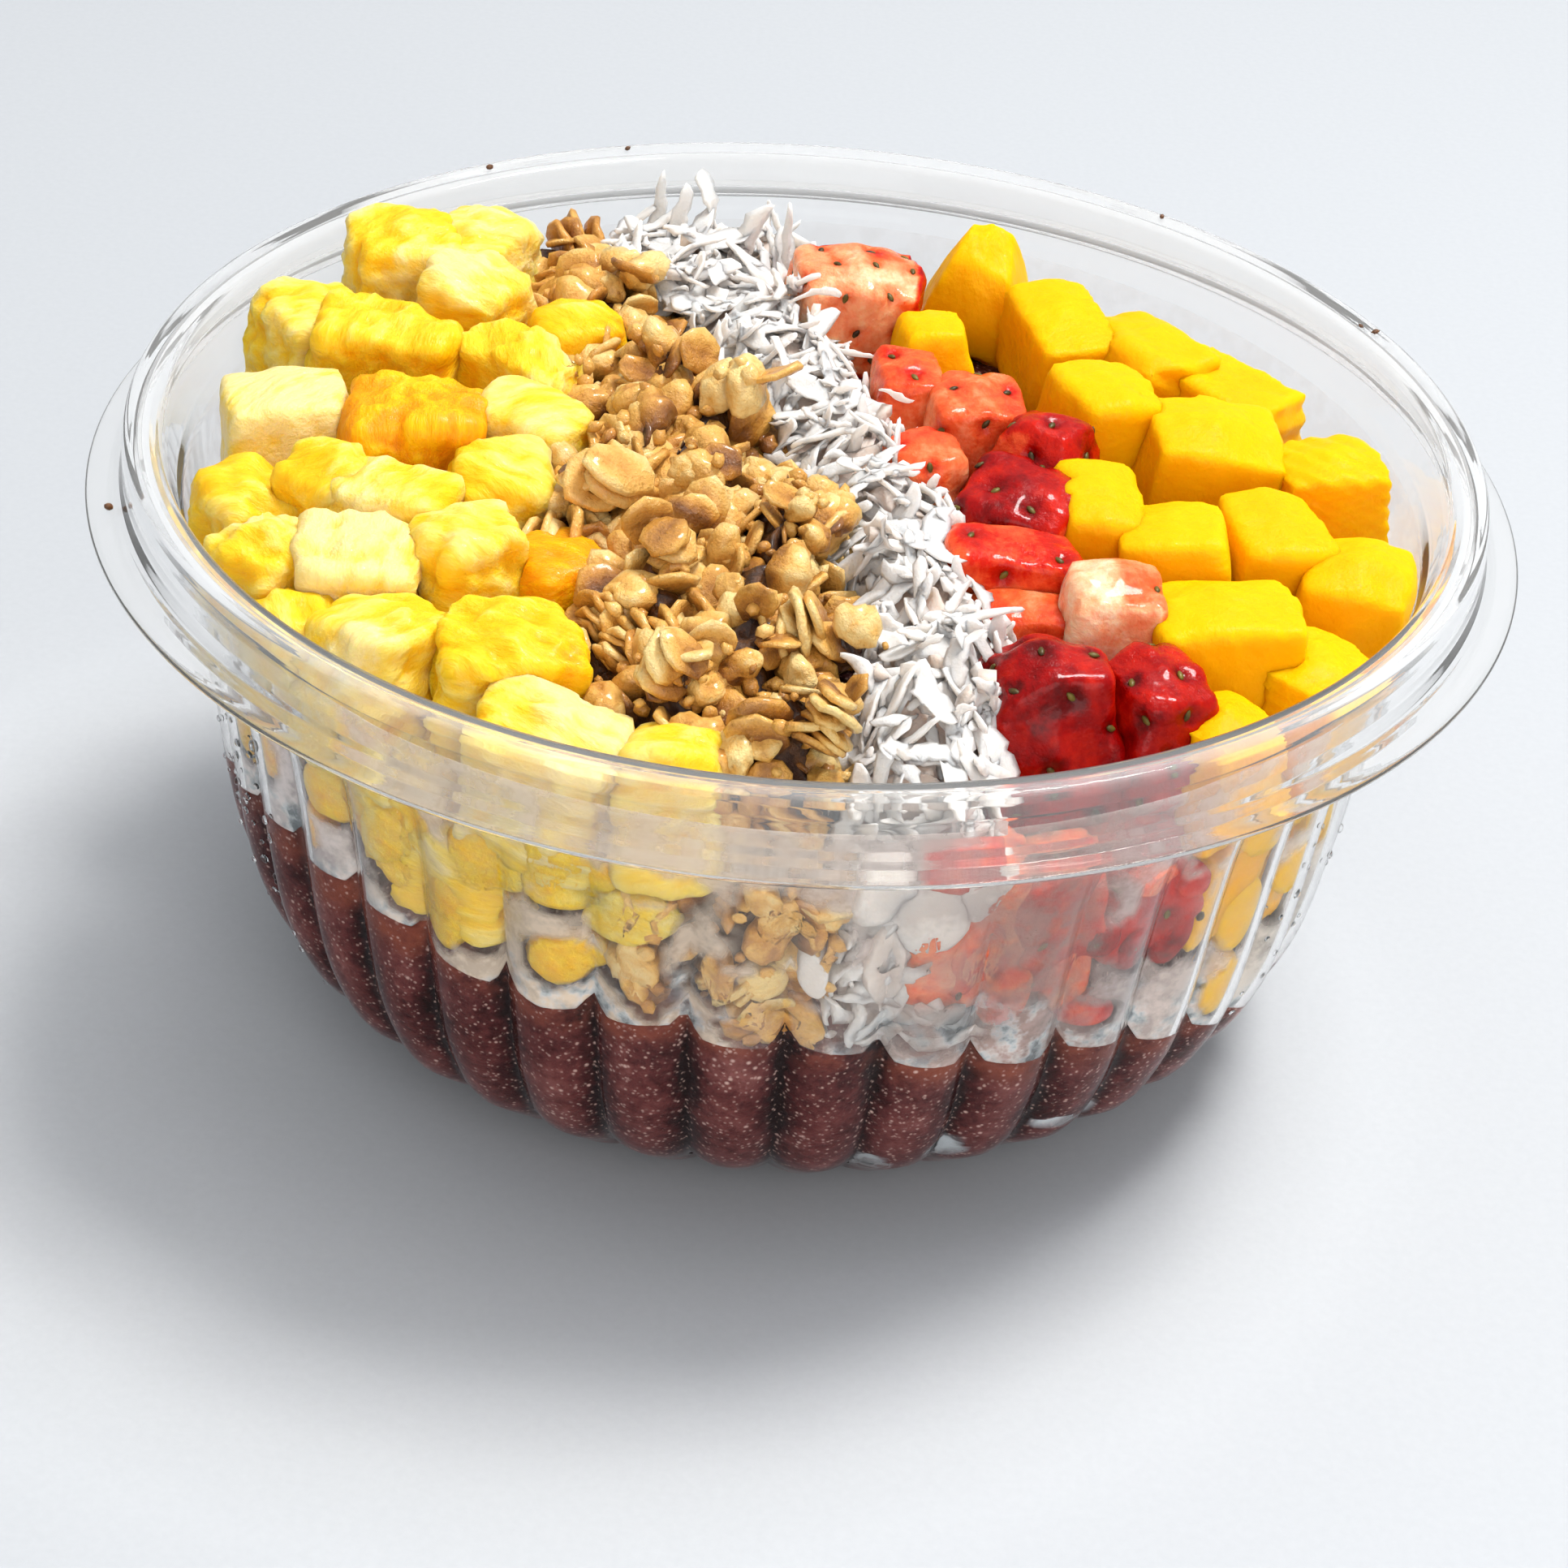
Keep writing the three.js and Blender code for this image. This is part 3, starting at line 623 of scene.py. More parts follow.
def add_acai():
    angles = angles_round(RING_STEPS)
    edge = acai_edge(angles)
    into_wall = SHEET - 0.2
    low = SHEET - 0.15
    rings = [polar(radius, angles, low) for radius in FLOOR_RINGS]
    rings += [on_wall(angles, 1.4 + (edge - 1.4) * share, into_wall) for share in np.linspace(0, 1, 42)]
    wall_edge = wall_radius(angles, edge, into_wall)
    for share in ACAI_TOP_RINGS:
        flat = polar(wall_edge * share, angles, 0.0)
        rise = smoothstep(wall_edge * share, SHOULDER_RADIUS, wall_edge)
        under = toppings_top(flat[:, 0], flat[:, 1]) - TOPPING_DEPTH
        flat[:, 2] = under + (edge - under) * rise
        flat[:, 2] += 0.7 * soft_noise(flat, 5.0, 11) * (1 - rise)
        rings.append(flat)
    points, faces = ring_stack(rings, (0, 0, low), (0, 0, toppings_top(0, 0) - TOPPING_DEPTH))
    angle, radius = angle_of(points), radius_of(points)
    hollow = np.zeros(len(points))
    for middle, height, wide, tall in POCKETS:
        far = np.hypot((angle - middle) / wide, (points[:, 2] - height) / tall)
        far += 0.3 * soft_noise(points, 1.6, 21)
        hollow = np.maximum(hollow, 1 - smoothstep(far, 0.75, 1.0))
    points[:, :2] *= (1 - 0.8 * hollow / np.maximum(radius, 1))[:, None]
    line = 1 - smoothstep(np.abs(points[:, 2] - acai_edge(angle)), 0.5, 4.0)
    at_wall = smoothstep(radius, 50, 60)
    # Painted shade: the acai is darker towards each crease of the lobes.
    values = {"edge": line * at_wall, "hollow": 0.85 * hollow, "crease_shade": crease(angle) ** 1.4}
    add_piece("acai_fill", points, faces, [acai_material()], "acai", ["acai"], values)


# ---------------------------------------------------------------- fruit

# The tone of each piece, from pale to deep.
PINEAPPLE_TONES = [
    0.25, 0.12, 0.12, 0.08, 0.55, 0.3, 0.5, 0.8, 0.12, 0.4, 0.3, 0.42, 0.7, 0.15, 0.25, 0.08, 0.2, 0.25,
    0.38, 0.55, 0.25, 0.25, 0.8, 0.5, 0.55,
]
MANGO_TONES = [0.2, 0.3, 0.35, 0.3, 0.4, 0.25, 0.3, 0.45, 0.35, 0.2, 0.35, 0.4, 0.25, 0.3, 0.5, 0.55, 0.6]
MANGO_RIDGED = {8: 1.5, 14: 1.2, 4: 3.0, 5: 3.0}  # pitch of the ridges left by the cutter
MANGO_TAPERED = {1: (0.62, (1.0, 1.0)), 2: (0.3, (0, 0))}  # share that the top narrows by, and where to
PINEAPPLE_ROUGH = {4: 0.3, 9: 0.6, 14: 0.6, 13: 0.5, 23: 0.5}  # how lumpy a piece is, where it isn't 1
# Tone of the cut flesh, tone of the skin, the side that the skin is on, and the spacing of its seeds.
STRAWBERRY_LOOKS = [
    (0.74, 0.19, (-0.55, -0.6, 0.58), 3.6),
    (0.38, 0.38, (0.2, -0.4, 0.9), 5.0),
    (0.42, 0.40, (-0.1, -0.5, 0.86), 4.6),
    (0.46, 0.74, (0.3, 0.0, 0.95), 4.4),
    (0.62, 0.80, (-0.2, -0.1, 0.97), 4.2),
    (0.42, 0.56, (0.9, -0.2, 0.3), 6.0),
    (0.36, 0.50, (0.9, -0.2, 0.3), 6.0),
    (0.06, 0.34, (0.9, 0.3, 0.2), 5.0),
    (0.74, 0.82, (-0.3, -0.7, 0.65), 4.8),
    (0.60, 0.78, (-0.2, -0.5, 0.84), 4.4),
    (0.25, 0.40, (0.0, 0.0, 1.0), 4.4),
    (0.30, 0.36, (0.1, -1.0, 0.0), 5.0),
    (0.60, 0.72, (0.6, -0.8, 0.0), 5.0),
    (0.30, 0.60, (0.3, -0.9, 0.1), 5.0),
]


GRAIN_STRETCH = {"pineapple": (3.2, 1.0, 1.0)}  # how much the texture is drawn out along the fibres
TOUCHING = []  # points of the food that lie on the wall
WALL_GAP = 0.2  # left between the food and the sheet
WALL_ROW = 52.0  # fruit whose middle is farther out than this leans on the wall and isn't tipped
TIP = 0.16  # radians that other fruit is tipped by at most


def tipped(points, draw):
    """The points turned a little about their middle, which keeps pieces out of rows."""
    middle = points.mean(0)
    axis = Vector(draw.normal(size=3)).normalized()
    turn = Matrix.Rotation(draw.uniform(-TIP, TIP), 3, axis)
    return (points - middle) @ np.array(turn).T + middle


def press_on_wall(points, into_lobes=1.0):
    """Pushes what lies near the wall out into the lobes by that share, and keeps all inside the sheet."""
    angle, radius, z = angle_of(points), radius_of(points), points[:, 2]
    room = wall_radius(angle, z, SHEET + WALL_GAP)
    shared = wall_radius(FIRST_CREASE, z, SHEET + 0.3)
    pushed = radius + into_lobes * (room - shared) * smoothstep(radius, shared - 3.0, shared)
    share = np.minimum(pushed, room) / np.maximum(radius, 1e-6)
    pressed = np.column_stack([points[:, 0] * share, points[:, 1] * share, z])
    TOUCHING.append(pressed[(pushed > room - 1.3) & (z < FLANGE_HEIGHT)])
    return pressed


def seed_points(points, skin, spacing, draw):
    """Places spread over the skin, none nearer to another than the spacing."""
    chosen = []
    for k in draw.permutation(np.flatnonzero(skin > 0.6)):
        if all(np.linalg.norm(points[k] - points[m]) > spacing for m in chosen):
            chosen.append(k)
    return chosen


def seed_shape():
    """An achene lying along X with its flat side down."""
    sections = ((-0.55, 0.55), (-0.1, 1.0), (0.35, 0.75))  # place along it, and width there
    rings = [oval(8, 0.38 * wide, 0.26 * wide, along)[:, [2, 0, 1]] for along, wide in sections]
    return ring_stack(rings, (-0.75, 0, 0), (0.65, 0, 0))


def frame_on(normal, draw, heading=None):
    """A rotation whose third axis is the normal, with a seeded turn about it, or one near the heading."""
    up = Vector(normal).normalized()
    about = draw.uniform(0, math.tau) if heading is None else heading + 0.9 * draw.normal()
    turn = Matrix.Rotation(about, 3, up)
    side = (turn @ up.orthogonal()).normalized()
    return np.array([side, up.cross(side), up]).T


def add_fruit(kind, number, voxel, smoothing, larger, shape, materials):
    """A detailed fruit piece in place of a CAD node.

    The shape function moves its points, sets their tones and may add seeds in the second material.
    """
    node = f"{kind}_{number:02d}"
    draw = np.random.default_rng(1000 + 37 * number + len(kind))
    points, faces, normals = meshed(node, voxel, smoothing)
    middle = points.mean(0)
    points = middle + (points - middle) * larger
    local = (points - middle) @ turned(draw, 0.5)
    moved, tones, seeds = shape(points, normals, local, draw, number)
    if radius_of(middle) <= WALL_ROW and not seeds:
        moved = tipped(moved, draw)
    moved = press_on_wall(moved, 0.5)
    grain = local / GRAIN_STRETCH.get(kind, 1) + draw.uniform(-50, 50, 3)
    points, both, tones, grain = merged([(moved, faces, tones, grain), *seeds])
    values = {"tone": tones, "grain": grain}
    add_piece(f"{node}_cut", points, both, materials, kind, [node], values, len(both) - len(faces))


def pineapple_shape(points, normals, local, draw, number):
    seed = 100 + number
    rough = PINEAPPLE_ROUGH.get(number, 1.0)
    torn = soft_noise(local, 4.2, seed)
    pulp = soft_noise(local, 1.9, seed + 1)
    fibres = soft_noise(local / (5.0, 1.0, 1.0), 1.1, seed + 2)
    lift = 0.6 + rough * (0.7 * torn + 0.6 * pulp + 0.5 * fibres)
    bend = soft_noise(local, 9.0, seed + 4)
    cloud = soft_noise(local, 6.5, seed + 3)
    # Painted light: paler where the fibres and the pulp rise.
    tones = PINEAPPLE_TONES[number - 1] + 0.38 * cloud - 0.14 * fibres - 0.12 * pulp
    return points + normals * (lift + 0.9 * rough * bend)[:, None], tones, []


def mango_shape(points, normals, local, draw, number):
    seed = 300 + number
    slack = soft_noise(local, 7.5, seed)
    skin = soft_noise(local / (1.0, 1.0, 3.0), 1.5, seed + 1)
    lift = 0.25 + 0.75 * slack + 0.16 * skin
    pitch = MANGO_RIDGED.get(number)
    if pitch:
        lift += 0.1 * pitch * np.sin(local[:, 2] * math.tau / pitch + 0.8 * slack)
    moved = points + normals * lift[:, None]
    if number in MANGO_TAPERED:
        amount, apex = MANGO_TAPERED[number]
        low, high = moved[:, 2].min(), moved[:, 2].max()
        share = ((moved[:, 2] - low) / (high - low)) ** 2.6
        middle = moved[:, :2].mean(0)
        moved[:, :2] += (middle + apex - moved[:, :2]) * (amount * share)[:, None]
    return moved, MANGO_TONES[number - 1] + 0.22 * soft_noise(local, 7.0, seed + 2) + 0.05 * skin, []


def strawberry_shape(points, normals, local, draw, number):
    flesh, skin_tone, side, spacing = STRAWBERRY_LOOKS[number - 1]
    seed = 500 + number
    facing = normals @ (np.array(side) / np.linalg.norm(side))
    skin = smoothstep(facing + 0.2 * soft_noise(local, 4.0, seed), 0.1, 0.4)
    folds = 0.4 + 0.75 * soft_noise(local, 4.6, seed + 1)
    fine = 0.16 * soft_noise(local, 1.5, seed + 2)
    lift = folds + fine
    chosen = seed_points(points, skin, spacing, draw)
    shape, shape_faces = seed_shape()
    seeds = []
    pits = np.zeros(len(points))
    for k in chosen:
        near = np.linalg.norm(points - points[k], axis=1)
        lift -= 0.65 * np.exp(-(near / 1.0) ** 2)
        pits += np.exp(-(near / 1.3) ** 2)
        turn = frame_on(normals[k], draw)
        centre = points[k] + normals[k] * (folds[k] + fine[k] - 0.5)
        seed_at = press_on_wall(shape @ turn.T + centre)
        seeds.append((seed_at, shape_faces, np.zeros(len(shape)), seed_at))
    streaks = soft_noise(local / (1.0, 1.0, 3.0), 1.6, seed + 3)
    tones = flesh + (skin_tone - flesh) * skin + 0.1 * streaks * (1 - skin)
    tones += 0.12 * soft_noise(local, 5.0, seed + 4) + 0.22 * pits
    return points + normals * lift[:, None], np.clip(tones, 0, 1), seeds


def add_all_fruit():
    """Each kind has its count, mesh size, smoothing steps, how much it is enlarged, shape and materials."""
    berry = [strawberry_material(), seed_material()]
    kinds = {
        "pineapple": (len(PINEAPPLE_TONES), 0.55, 1, 1.06, pineapple_shape, [pineapple_material()]),
        "mango": (len(MANGO_TONES), 0.6, 1, 1.07, mango_shape, [mango_material()]),
        "strawberry": (len(STRAWBERRY_LOOKS), 0.45, 4, 1.03, strawberry_shape, berry),
    }
    for kind, (count, *looks) in kinds.items():
        for number in range(1, count + 1):
            add_fruit(kind, number, *looks)
    for kind, looks in kinds.items():
        add_wall_bits(kind, looks[-1][:1])


# ---------------------------------------------------------------- granola and coconut

# A loose shape is its points, its faces and how much darker each point is than the piece's own tone.


def rings_shape(rings, first, last, shade):
    points, faces = ring_stack(rings, first, last)
    return points, faces, np.asarray(shade, float) + np.zeros(len(points))


OAT = (3.9, 2.9)  # half length and half width of a rolled oat
KERNEL = (2.4, 2.0, 3.1)  # half widths and half length of a puffed kernel


def flake_shape(draw):
    """A rolled oat: a thin oval, curled and grooved along its length."""
    around = 12
    turns = np.linspace(0, math.tau, around, endpoint=False)
    wave = 1 + 0.12 * np.sin(2 * turns + draw.uniform(0, 6)) + 0.05 * np.sin(5 * turns + draw.uniform(0, 6))
    section = ((0.5, 0.55), (0.92, 0.45), (1.0, 0.0), (0.92, -0.45), (0.5, -0.55))  # share of width, height
    long, broad = OAT
    rings = [oval(around, long * share * wave, broad * share * wave, height) for share, height in section]
    points, faces = ring_stack(rings, (0, 0, 0.5), (0, 0, -0.5))
    curl, twist = draw.uniform(-0.05, 0.07), draw.uniform(-0.05, 0.05)
    x, y = points[:, 0].copy(), points[:, 1].copy()
    points[:, 2] += curl * (x * x + y * y) + twist * x * y - 0.3 * np.exp(-(y / 0.6) ** 2)
    points[:, 2] += 0.25 * soft_noise(points, 1.5, int(draw.integers(1000)))
    groove = np.exp(-(y / 0.6) ** 2)
    return points, faces, 0.18 - 0.2 * np.hypot(x / long, y / broad) ** 3 + 0.12 * groove


def puff_shape(draw):
    """A puffed kernel: a lumpy bean with a crust."""
    points, faces = ball(16, 12, *KERNEL)
    seed = int(draw.integers(1000))
    dents = soft_noise(points, 2.6, seed)
    crust = soft_noise(points, 1.0, seed + 1)
    points = points * (1 + 0.26 * dents + 0.2 * crust)[:, None]
    return points[:, [2, 0, 1]], faces, 0.22 * np.maximum(-dents, 0) - 0.16 * crust


def crumb_shape(draw):
    """A broken bit of oat or sugar crust."""
    around = 6
    turns = np.linspace(0, math.tau, around, endpoint=False)
    rings = []
    for height, wide in ((-0.5, 0.7), (0.0, 1.0), (0.45, 0.65)):
        wave = 1 + 0.3 * np.sin(2 * turns + draw.uniform(0, 6))
        rings.append(oval(around, 1.1 * wide * wave, 0.8 * wide, height))
    return rings_shape(rings, (0, 0, -0.75), (0, 0, 0.7), draw.uniform(-0.1, 0.2))


def one_of(shapes, draw):
    return shapes[int(draw.integers(len(shapes)))]


def added(shape, turn, offset, size, shade):
    """A shape turned, scaled and moved, with its tones made darker by the shade."""
    return shape[0] * size @ turn.T + offset, shape[1], shape[2] + shade


def flake_stack(draw, flakes):
    """Oats baked into a pile, which lies at any angle."""
    pile = []
    for k in range(int(draw.integers(4, 7))):
        offset = (*draw.uniform(-1.2, 1.2, 2), 1.15 * k - 2.6)
        flake, turn = one_of(flakes, draw), turned(draw, 0.16)
        pile.append(added(flake, turn, offset, draw.uniform(0.75, 1.1), draw.uniform(-0.1, 0.16)))
    points, faces, shades = merged(pile)
    return points @ turned(draw, 1.5).T, faces, shades


def nut_lump(draw, puffs, flakes, crumbs):
    """Puffed kernels and oats stuck together with small crumbs."""
    lump = []
    # How many of each, how far apart, how much they tip, their sizes and their shades.
    kinds = (
        (puffs, int(draw.integers(2, 4)), (3.0, 3.0, 1.2), math.pi, (0.85, 1.3), (-0.12, 0.08)),
        (flakes, 2, (3.4, 3.4, 1.8), 0.9, (0.6, 0.95), (-0.05, 0.2)),
        (crumbs, 8, (3.4, 3.4, 2.2), math.pi, (0.8, 1.5), (-0.15, 0.1)),
    )
    for shapes, count, spread, tilt, sizes, shades in kinds:
        for _ in range(count):
            offset = draw.uniform(-1, 1, 3) * spread
            shape, turn = one_of(shapes, draw), turned(draw, tilt)
            lump.append(added(shape, turn, offset, draw.uniform(*sizes), draw.uniform(*shades)))
    return merged(lump)


def strip_shape(steps, half_length, bend, lift, twist, tip, section_at):
    """A strip along X, bent and twisted. Its cross-section and a rise are given for places from -1 to 1."""
    rings = []
    for k in range(steps):
        share = 2 * k / (steps - 1) - 1
        (x, y, z), rise = section_at(share)
        cosine, sine = math.cos(twist * share), math.sin(twist * share)
        section = np.stack([x, y * cosine - z * sine, y * sine + z * cosine], -1)
        rings.append(section + (half_length * share, bend * share ** 2, lift * share ** 2 + rise))
    first, last = rings[0].mean(0) - (tip, 0, 0), rings[-1].mean(0) + (tip, 0, 0)
    return rings_shape(rings, first, last, 0)


def shred_shape(draw):
    """A curled shred of coconut with uneven edges and torn ends."""
    bend, lift, twist = draw.uniform(-1.5, 1.5), draw.uniform(-0.8, 1.4), draw.uniform(-0.9, 0.9)
    wide, thick = draw.uniform(0.7, 1.1), draw.uniform(0.35, 0.6)
    across = wide * np.array([-1, -0.5, 0.5, 1, 0.5, -0.5])
    depth = thick * np.array([0, -1, -1, 0, 1, 1])

    def section_at(share):
        taper = (1 - 0.45 * abs(share) ** 3) * (1 + draw.uniform(-0.18, 0.18))
        return (0 * across, across * taper, depth * taper), 0.3 * draw.uniform(-1, 1)

    return strip_shape(8, 2.9, bend, lift, twist, 0.35, section_at)


def ribbon_shape(draw):
    """A broad shaving of coconut: flat, cupped across, waved along and torn at its ends and edges."""
    bend, lift, wave = draw.uniform(-1.7, 1.7), draw.uniform(-0.9, 1.2), draw.uniform(0, 6)
    wide, thick = draw.uniform(0.8, 1.8), draw.uniform(0.24, 0.4)
    cup, twist = draw.uniform(-0.3, 0.45), draw.uniform(-0.7, 0.7)
    across = np.array([-1, -0.55, 0, 0.55, 1, 0.5, 0, -0.5])
    depth = np.array([0, 1, 1, 1, 0, -1, -1, -1])

    def section_at(share):
        taper = 1 - 0.42 * abs(share) ** 4
        side = np.where(across < 0, draw.uniform(0.6, 1.3), draw.uniform(0.6, 1.3))
        y = across * wide * taper * side
        z = depth * thick * (1 - 0.3 * abs(share)) + cup * y * y + 0.25 * math.sin(3 * share + wave)
        return (0.7 * across * draw.uniform(-1, 1), y, z), 0

    return strip_shape(9, 4.1, bend, lift, twist, 0.3, section_at)


def spots_on(points, weights, count, spacing, draw):
    """Seeded places on a surface, kept apart by the spacing."""
    tries = min(len(points), count * 14)
    order = draw.choice(len(points), size=tries, replace=False, p=weights / weights.sum())
    chosen = np.empty((0, 3))
    picks = []
    for k in order:
        if len(picks) == count:
            break
        if not picks or np.min(np.sum((chosen - points[k]) ** 2, axis=1)) > spacing ** 2:
            picks.append(k)
            chosen = np.vstack([chosen, points[k]])
    return picks


def scatter(shapes, spots, points, normals, lean, sizes, tones, sink, foot_shade, draw, clumped=False):
    """Copies of the shapes on the spots, with painted shade that darkens them towards their foot, and lying
    much alike where clumped.
    """
    headings = 8 * soft_noise(points, 7.0, 71) if clumped else None
    laid = []
    for k in spots:
        shape, faces, shade = one_of(shapes, draw)
        size = draw.uniform(*sizes)
        heading = headings[k] if clumped else None
        turn = frame_on(normals[k] + lean * draw.normal(size=3), draw, heading)
        piece = shape * size @ turn.T + (points[k] + normals[k] * draw.uniform(*sink))
        # Painted shade: each piece is darker where it sinks towards the heap.
        foot = 1 - smoothstep((piece - points[k]) @ normals[k], -0.8, 2.4)
        tone = np.clip(draw.uniform(*tones) + shade + foot_shade * foot, 0, 1)
        laid.append((piece, faces, tone, shape + draw.uniform(-60, 60, 3)))
    return merged(laid)


def heap_core(node, sink, rough, seed):
    """The heap's solid, sunk a little: points, faces, normals, and how likely pieces are to lie there."""
    points, faces, normals = meshed(node, 1.1, 3)
    points += normals * (rough * soft_noise(points, 2.4, seed) - sink)[:, None]
    at_wall = smoothstep(radius_of(points), 57, 61) * (normals[:, 1] < -0.2)
    weights = smoothstep(normals[:, 2], -0.1, 0.5) + 0.8 * at_wall + 1e-9
    return points, faces, normals, weights


def heap_parts(core, tone, layers, draw, clumped=False):
    """A heap's core under layers of loose pieces, all as points, faces, tones and places in their texture.

    A layer has its shapes, their count, how far apart they are, and then what scatter asks for.
    """
    points, faces, normals, weights = core
    spots = [spots_on(points, weights, *layer[1:3], draw) for layer in layers]
    return [
        # The core has one tone all over, darker than the pieces: painted shade in the gaps between them.
        (points, faces, np.full(len(points), tone), points),
        *[scatter(layer[0], chosen, points, normals, *layer[3:], draw, clumped)
          for layer, chosen in zip(layers, spots)],
    ]


def add_granola():
    draw = np.random.default_rng(21)
    flakes = [flake_shape(draw) for _ in range(9)]
    puffs = [puff_shape(draw) for _ in range(8)]
    crumbs = [crumb_shape(draw) for _ in range(8)]
    stacks = [flake_stack(draw, flakes) for _ in range(9)]
    lumps = [nut_lump(draw, puffs, flakes, crumbs) for _ in range(11)]
    # The core is near black, as painted shade in the gaps, and each layer's last number is the painted
    # shade at the pieces' feet.
    parts = heap_parts(heap_core("granola", 1.8, 0.9, 61), 0.97, [
        (stacks + lumps, 120, 5.2, 0.25, (0.78, 1.12), (0.0, 0.32), (0.3, 2.0), 0.5),
        (flakes + puffs[:3], 170, 3.4, 0.7, (0.6, 0.95), (0.02, 0.38), (0.8, 2.4), 0.3),
        (crumbs, 260, 1.8, 0.8, (0.5, 1.3), (0.08, 0.45), (1.0, 2.8), 0.2),
    ], draw)
    parts.append(placed(lumps[0], (-7.6, 0.4, toppings_top(-7.6, 0.4) + 2.0), 1.15, 0.08, draw))
    baked = granola_material()
    add_heap("granola_mix", parts, baked, "granola")
    add_crumbs(baked)


# Shavings that stand up from the back of the heap: x, y and how far their middle is over the toppings.
COCONUT_TIPS = [
    (-20.8, 57.0, -1.0), (-18.2, 49.7, 0.0), (-14.5, 54.0, 0.5), (-4.7, 49.9, -1.0), (-9.0, 47.0, 0.0),
]


def placed(shape, middle, size, tone, draw):
    """One shape at a place of its own, turned at random."""
    points = shape[0] * size @ turned(draw, 0.3).T + middle
    return points, shape[1], np.clip(shape[2] + tone, 0, 1), shape[0] + draw.uniform(-60, 60, 3)


def upright(shape, middle, draw):
    """One shaving standing up, leaning a little."""
    points = (shape[0][:, [2, 1, 0]] * (1, 1, -1)) @ turned(draw, 0.35).T + middle
    return points, shape[1], shape[2] + 0.05, shape[0] + draw.uniform(-60, 60, 3)


def add_coconut():
    draw = np.random.default_rng(22)
    thin = [shred_shape(draw) for _ in range(14)]
    broad = [ribbon_shape(draw) for _ in range(18)]
    # The core is darker than the shavings, as painted shade in the gaps, and each layer's last number is
    # the painted shade at the pieces' feet.
    parts = heap_parts(heap_core("coconut", 1.3, 0.8, 62), 0.75, [
        (broad, 500, 2.0, 0.3, (0.7, 1.2), (0, 0.25), (0.2, 2.4), 0.4),
        (thin, 130, 2.8, 0.5, (0.5, 0.95), (0, 0.25), (0.8, 2.6), 0.3),
    ], draw, clumped=True)
    for ribbon, (x, y, over_top) in zip(broad, COCONUT_TIPS):
        parts.append(upright(ribbon, (x, y, toppings_top(x, y) + over_top), draw))
    shredded = coconut_material()
    add_heap("coconut_shreds", parts, shredded, "coconut")
    add_wall_bits("coconut", [shredded])


def add_heap(name, parts, material, node):
    points, faces, tones, local = merged(parts)
    add_piece(name, press_on_wall(points), faces, [material], node, [node], {"tone": tones, "grain": local})


# ---------------------------------------------------------------- bits seen through the wall

# Bits of food pressed flat on the wall: angle, height, half width in degrees, half height, tone.
WALL_BITS = {
    "pineapple": [
        (-56.5, 45, 2.0, 3.4, 0.7), (-50.5, 40, 2.2, 3.6, 0.9), (-46, 47, 3.4, 4.5, 0.5),
        (-38.5, 46, 4.0, 4.0, 0.5), (-31.8, 40, 2.8, 5.6, 0.6), (-27, 48, 4.0, 5.0, 0.5),
        (-19.3, 39.7, 4.4, 3.4, 0.65), (-13.5, 47, 4.6, 4.6, 0.3), (-19, 51, 5.0, 5.0, 0.5),
        (-63, 43, 2.5, 4.0, 0.6), (-72, 40, 3.0, 5.0, 0.6),
    ],
    "strawberry": [
        (19.5, 44, 3.4, 7.0, 0.5), (22.5, 38.5, 2.6, 4.6, 0.42), (28.8, 38, 2.6, 4.2, 0.38),
        (26, 50, 4.6, 6.5, 0.6), (31.5, 43, 1.9, 2.4, 0.88), (36, 40.8, 2.4, 3.2, 0.84),
        (40.3, 39.8, 2.4, 3.8, 0.84), (36.5, 49, 2.6, 2.0, 0.42), (41.5, 46.5, 1.5, 2.2, 0.64),
        (32, 32.5, 3.0, 1.7, 0.6), (16, 57, 4.0, 3.0, 0.6),
    ],
    "mango": [
        (50.5, 38, 3.0, 5.5, 0.05), (51.5, 27, 3.2, 4.6, 0.1), (52, 49, 5.0, 4.4, 0.05),
        (60, 38, 2.6, 4.5, 0.1), (66, 42, 2.8, 6.0, 0.1), (73, 36, 3.2, 6.0, 0.2), (81, 40, 3.0, 6.0, 0.2),
    ],
    "coconut": [
        (9.5, 54, 3.2, 4.6, 0.1), (14, 50, 4.0, 4.4, 0.05), (18.5, 53, 3.0, 4.0, 0.1),
        (10.5, 43, 2.6, 5.0, 0.45), (4.2, 42, 1.5, 3.4, 0.2),
    ],
}
BIT_DEPTH = 3.4


def pressed_bit(bit, seed):
    """A pillow with its outer face flat on the wall."""
    angle, height, wide, tall, _ = bit
    points, faces = ball(28, 15, 1, 1, -1)
    points = points[:, [0, 2, 1]]
    outline = 1 + 0.28 * soft_noise(points * (1, 0, 1), 0.8, seed) + 0.1 * soft_noise(points, 0.4, seed + 1)
    flat = np.clip(points[:, 1] * 1.7, -1, 1)
    z = height + tall * outline * points[:, 2]
    around_wall = angle + wide * outline * points[:, 0]
    radius = wall_radius(around_wall, z, SHEET + WALL_GAP) - BIT_DEPTH * (1 - flat) / 2
    return polar(radius, around_wall, z), faces


def add_wall_bits(kind, materials):
    bits = []
    for k, bit in enumerate(WALL_BITS[kind]):
        points, faces = pressed_bit(bit, 700 + 10 * k + len(kind))
        bits.append((points, faces, bit[4] + 0.15 * soft_noise(points, 3.0, 800 + k)))
    points, faces, tones = merged(bits)
    TOUCHING.append(points[radius_of(points) > wall_radius(angle_of(points), points[:, 2], 1.2)])
    values = {"tone": np.clip(tones, 0, 1), "grain": points}
    add_piece(f"{kind}_pressed_bits", points, faces, materials, kind, (), values)


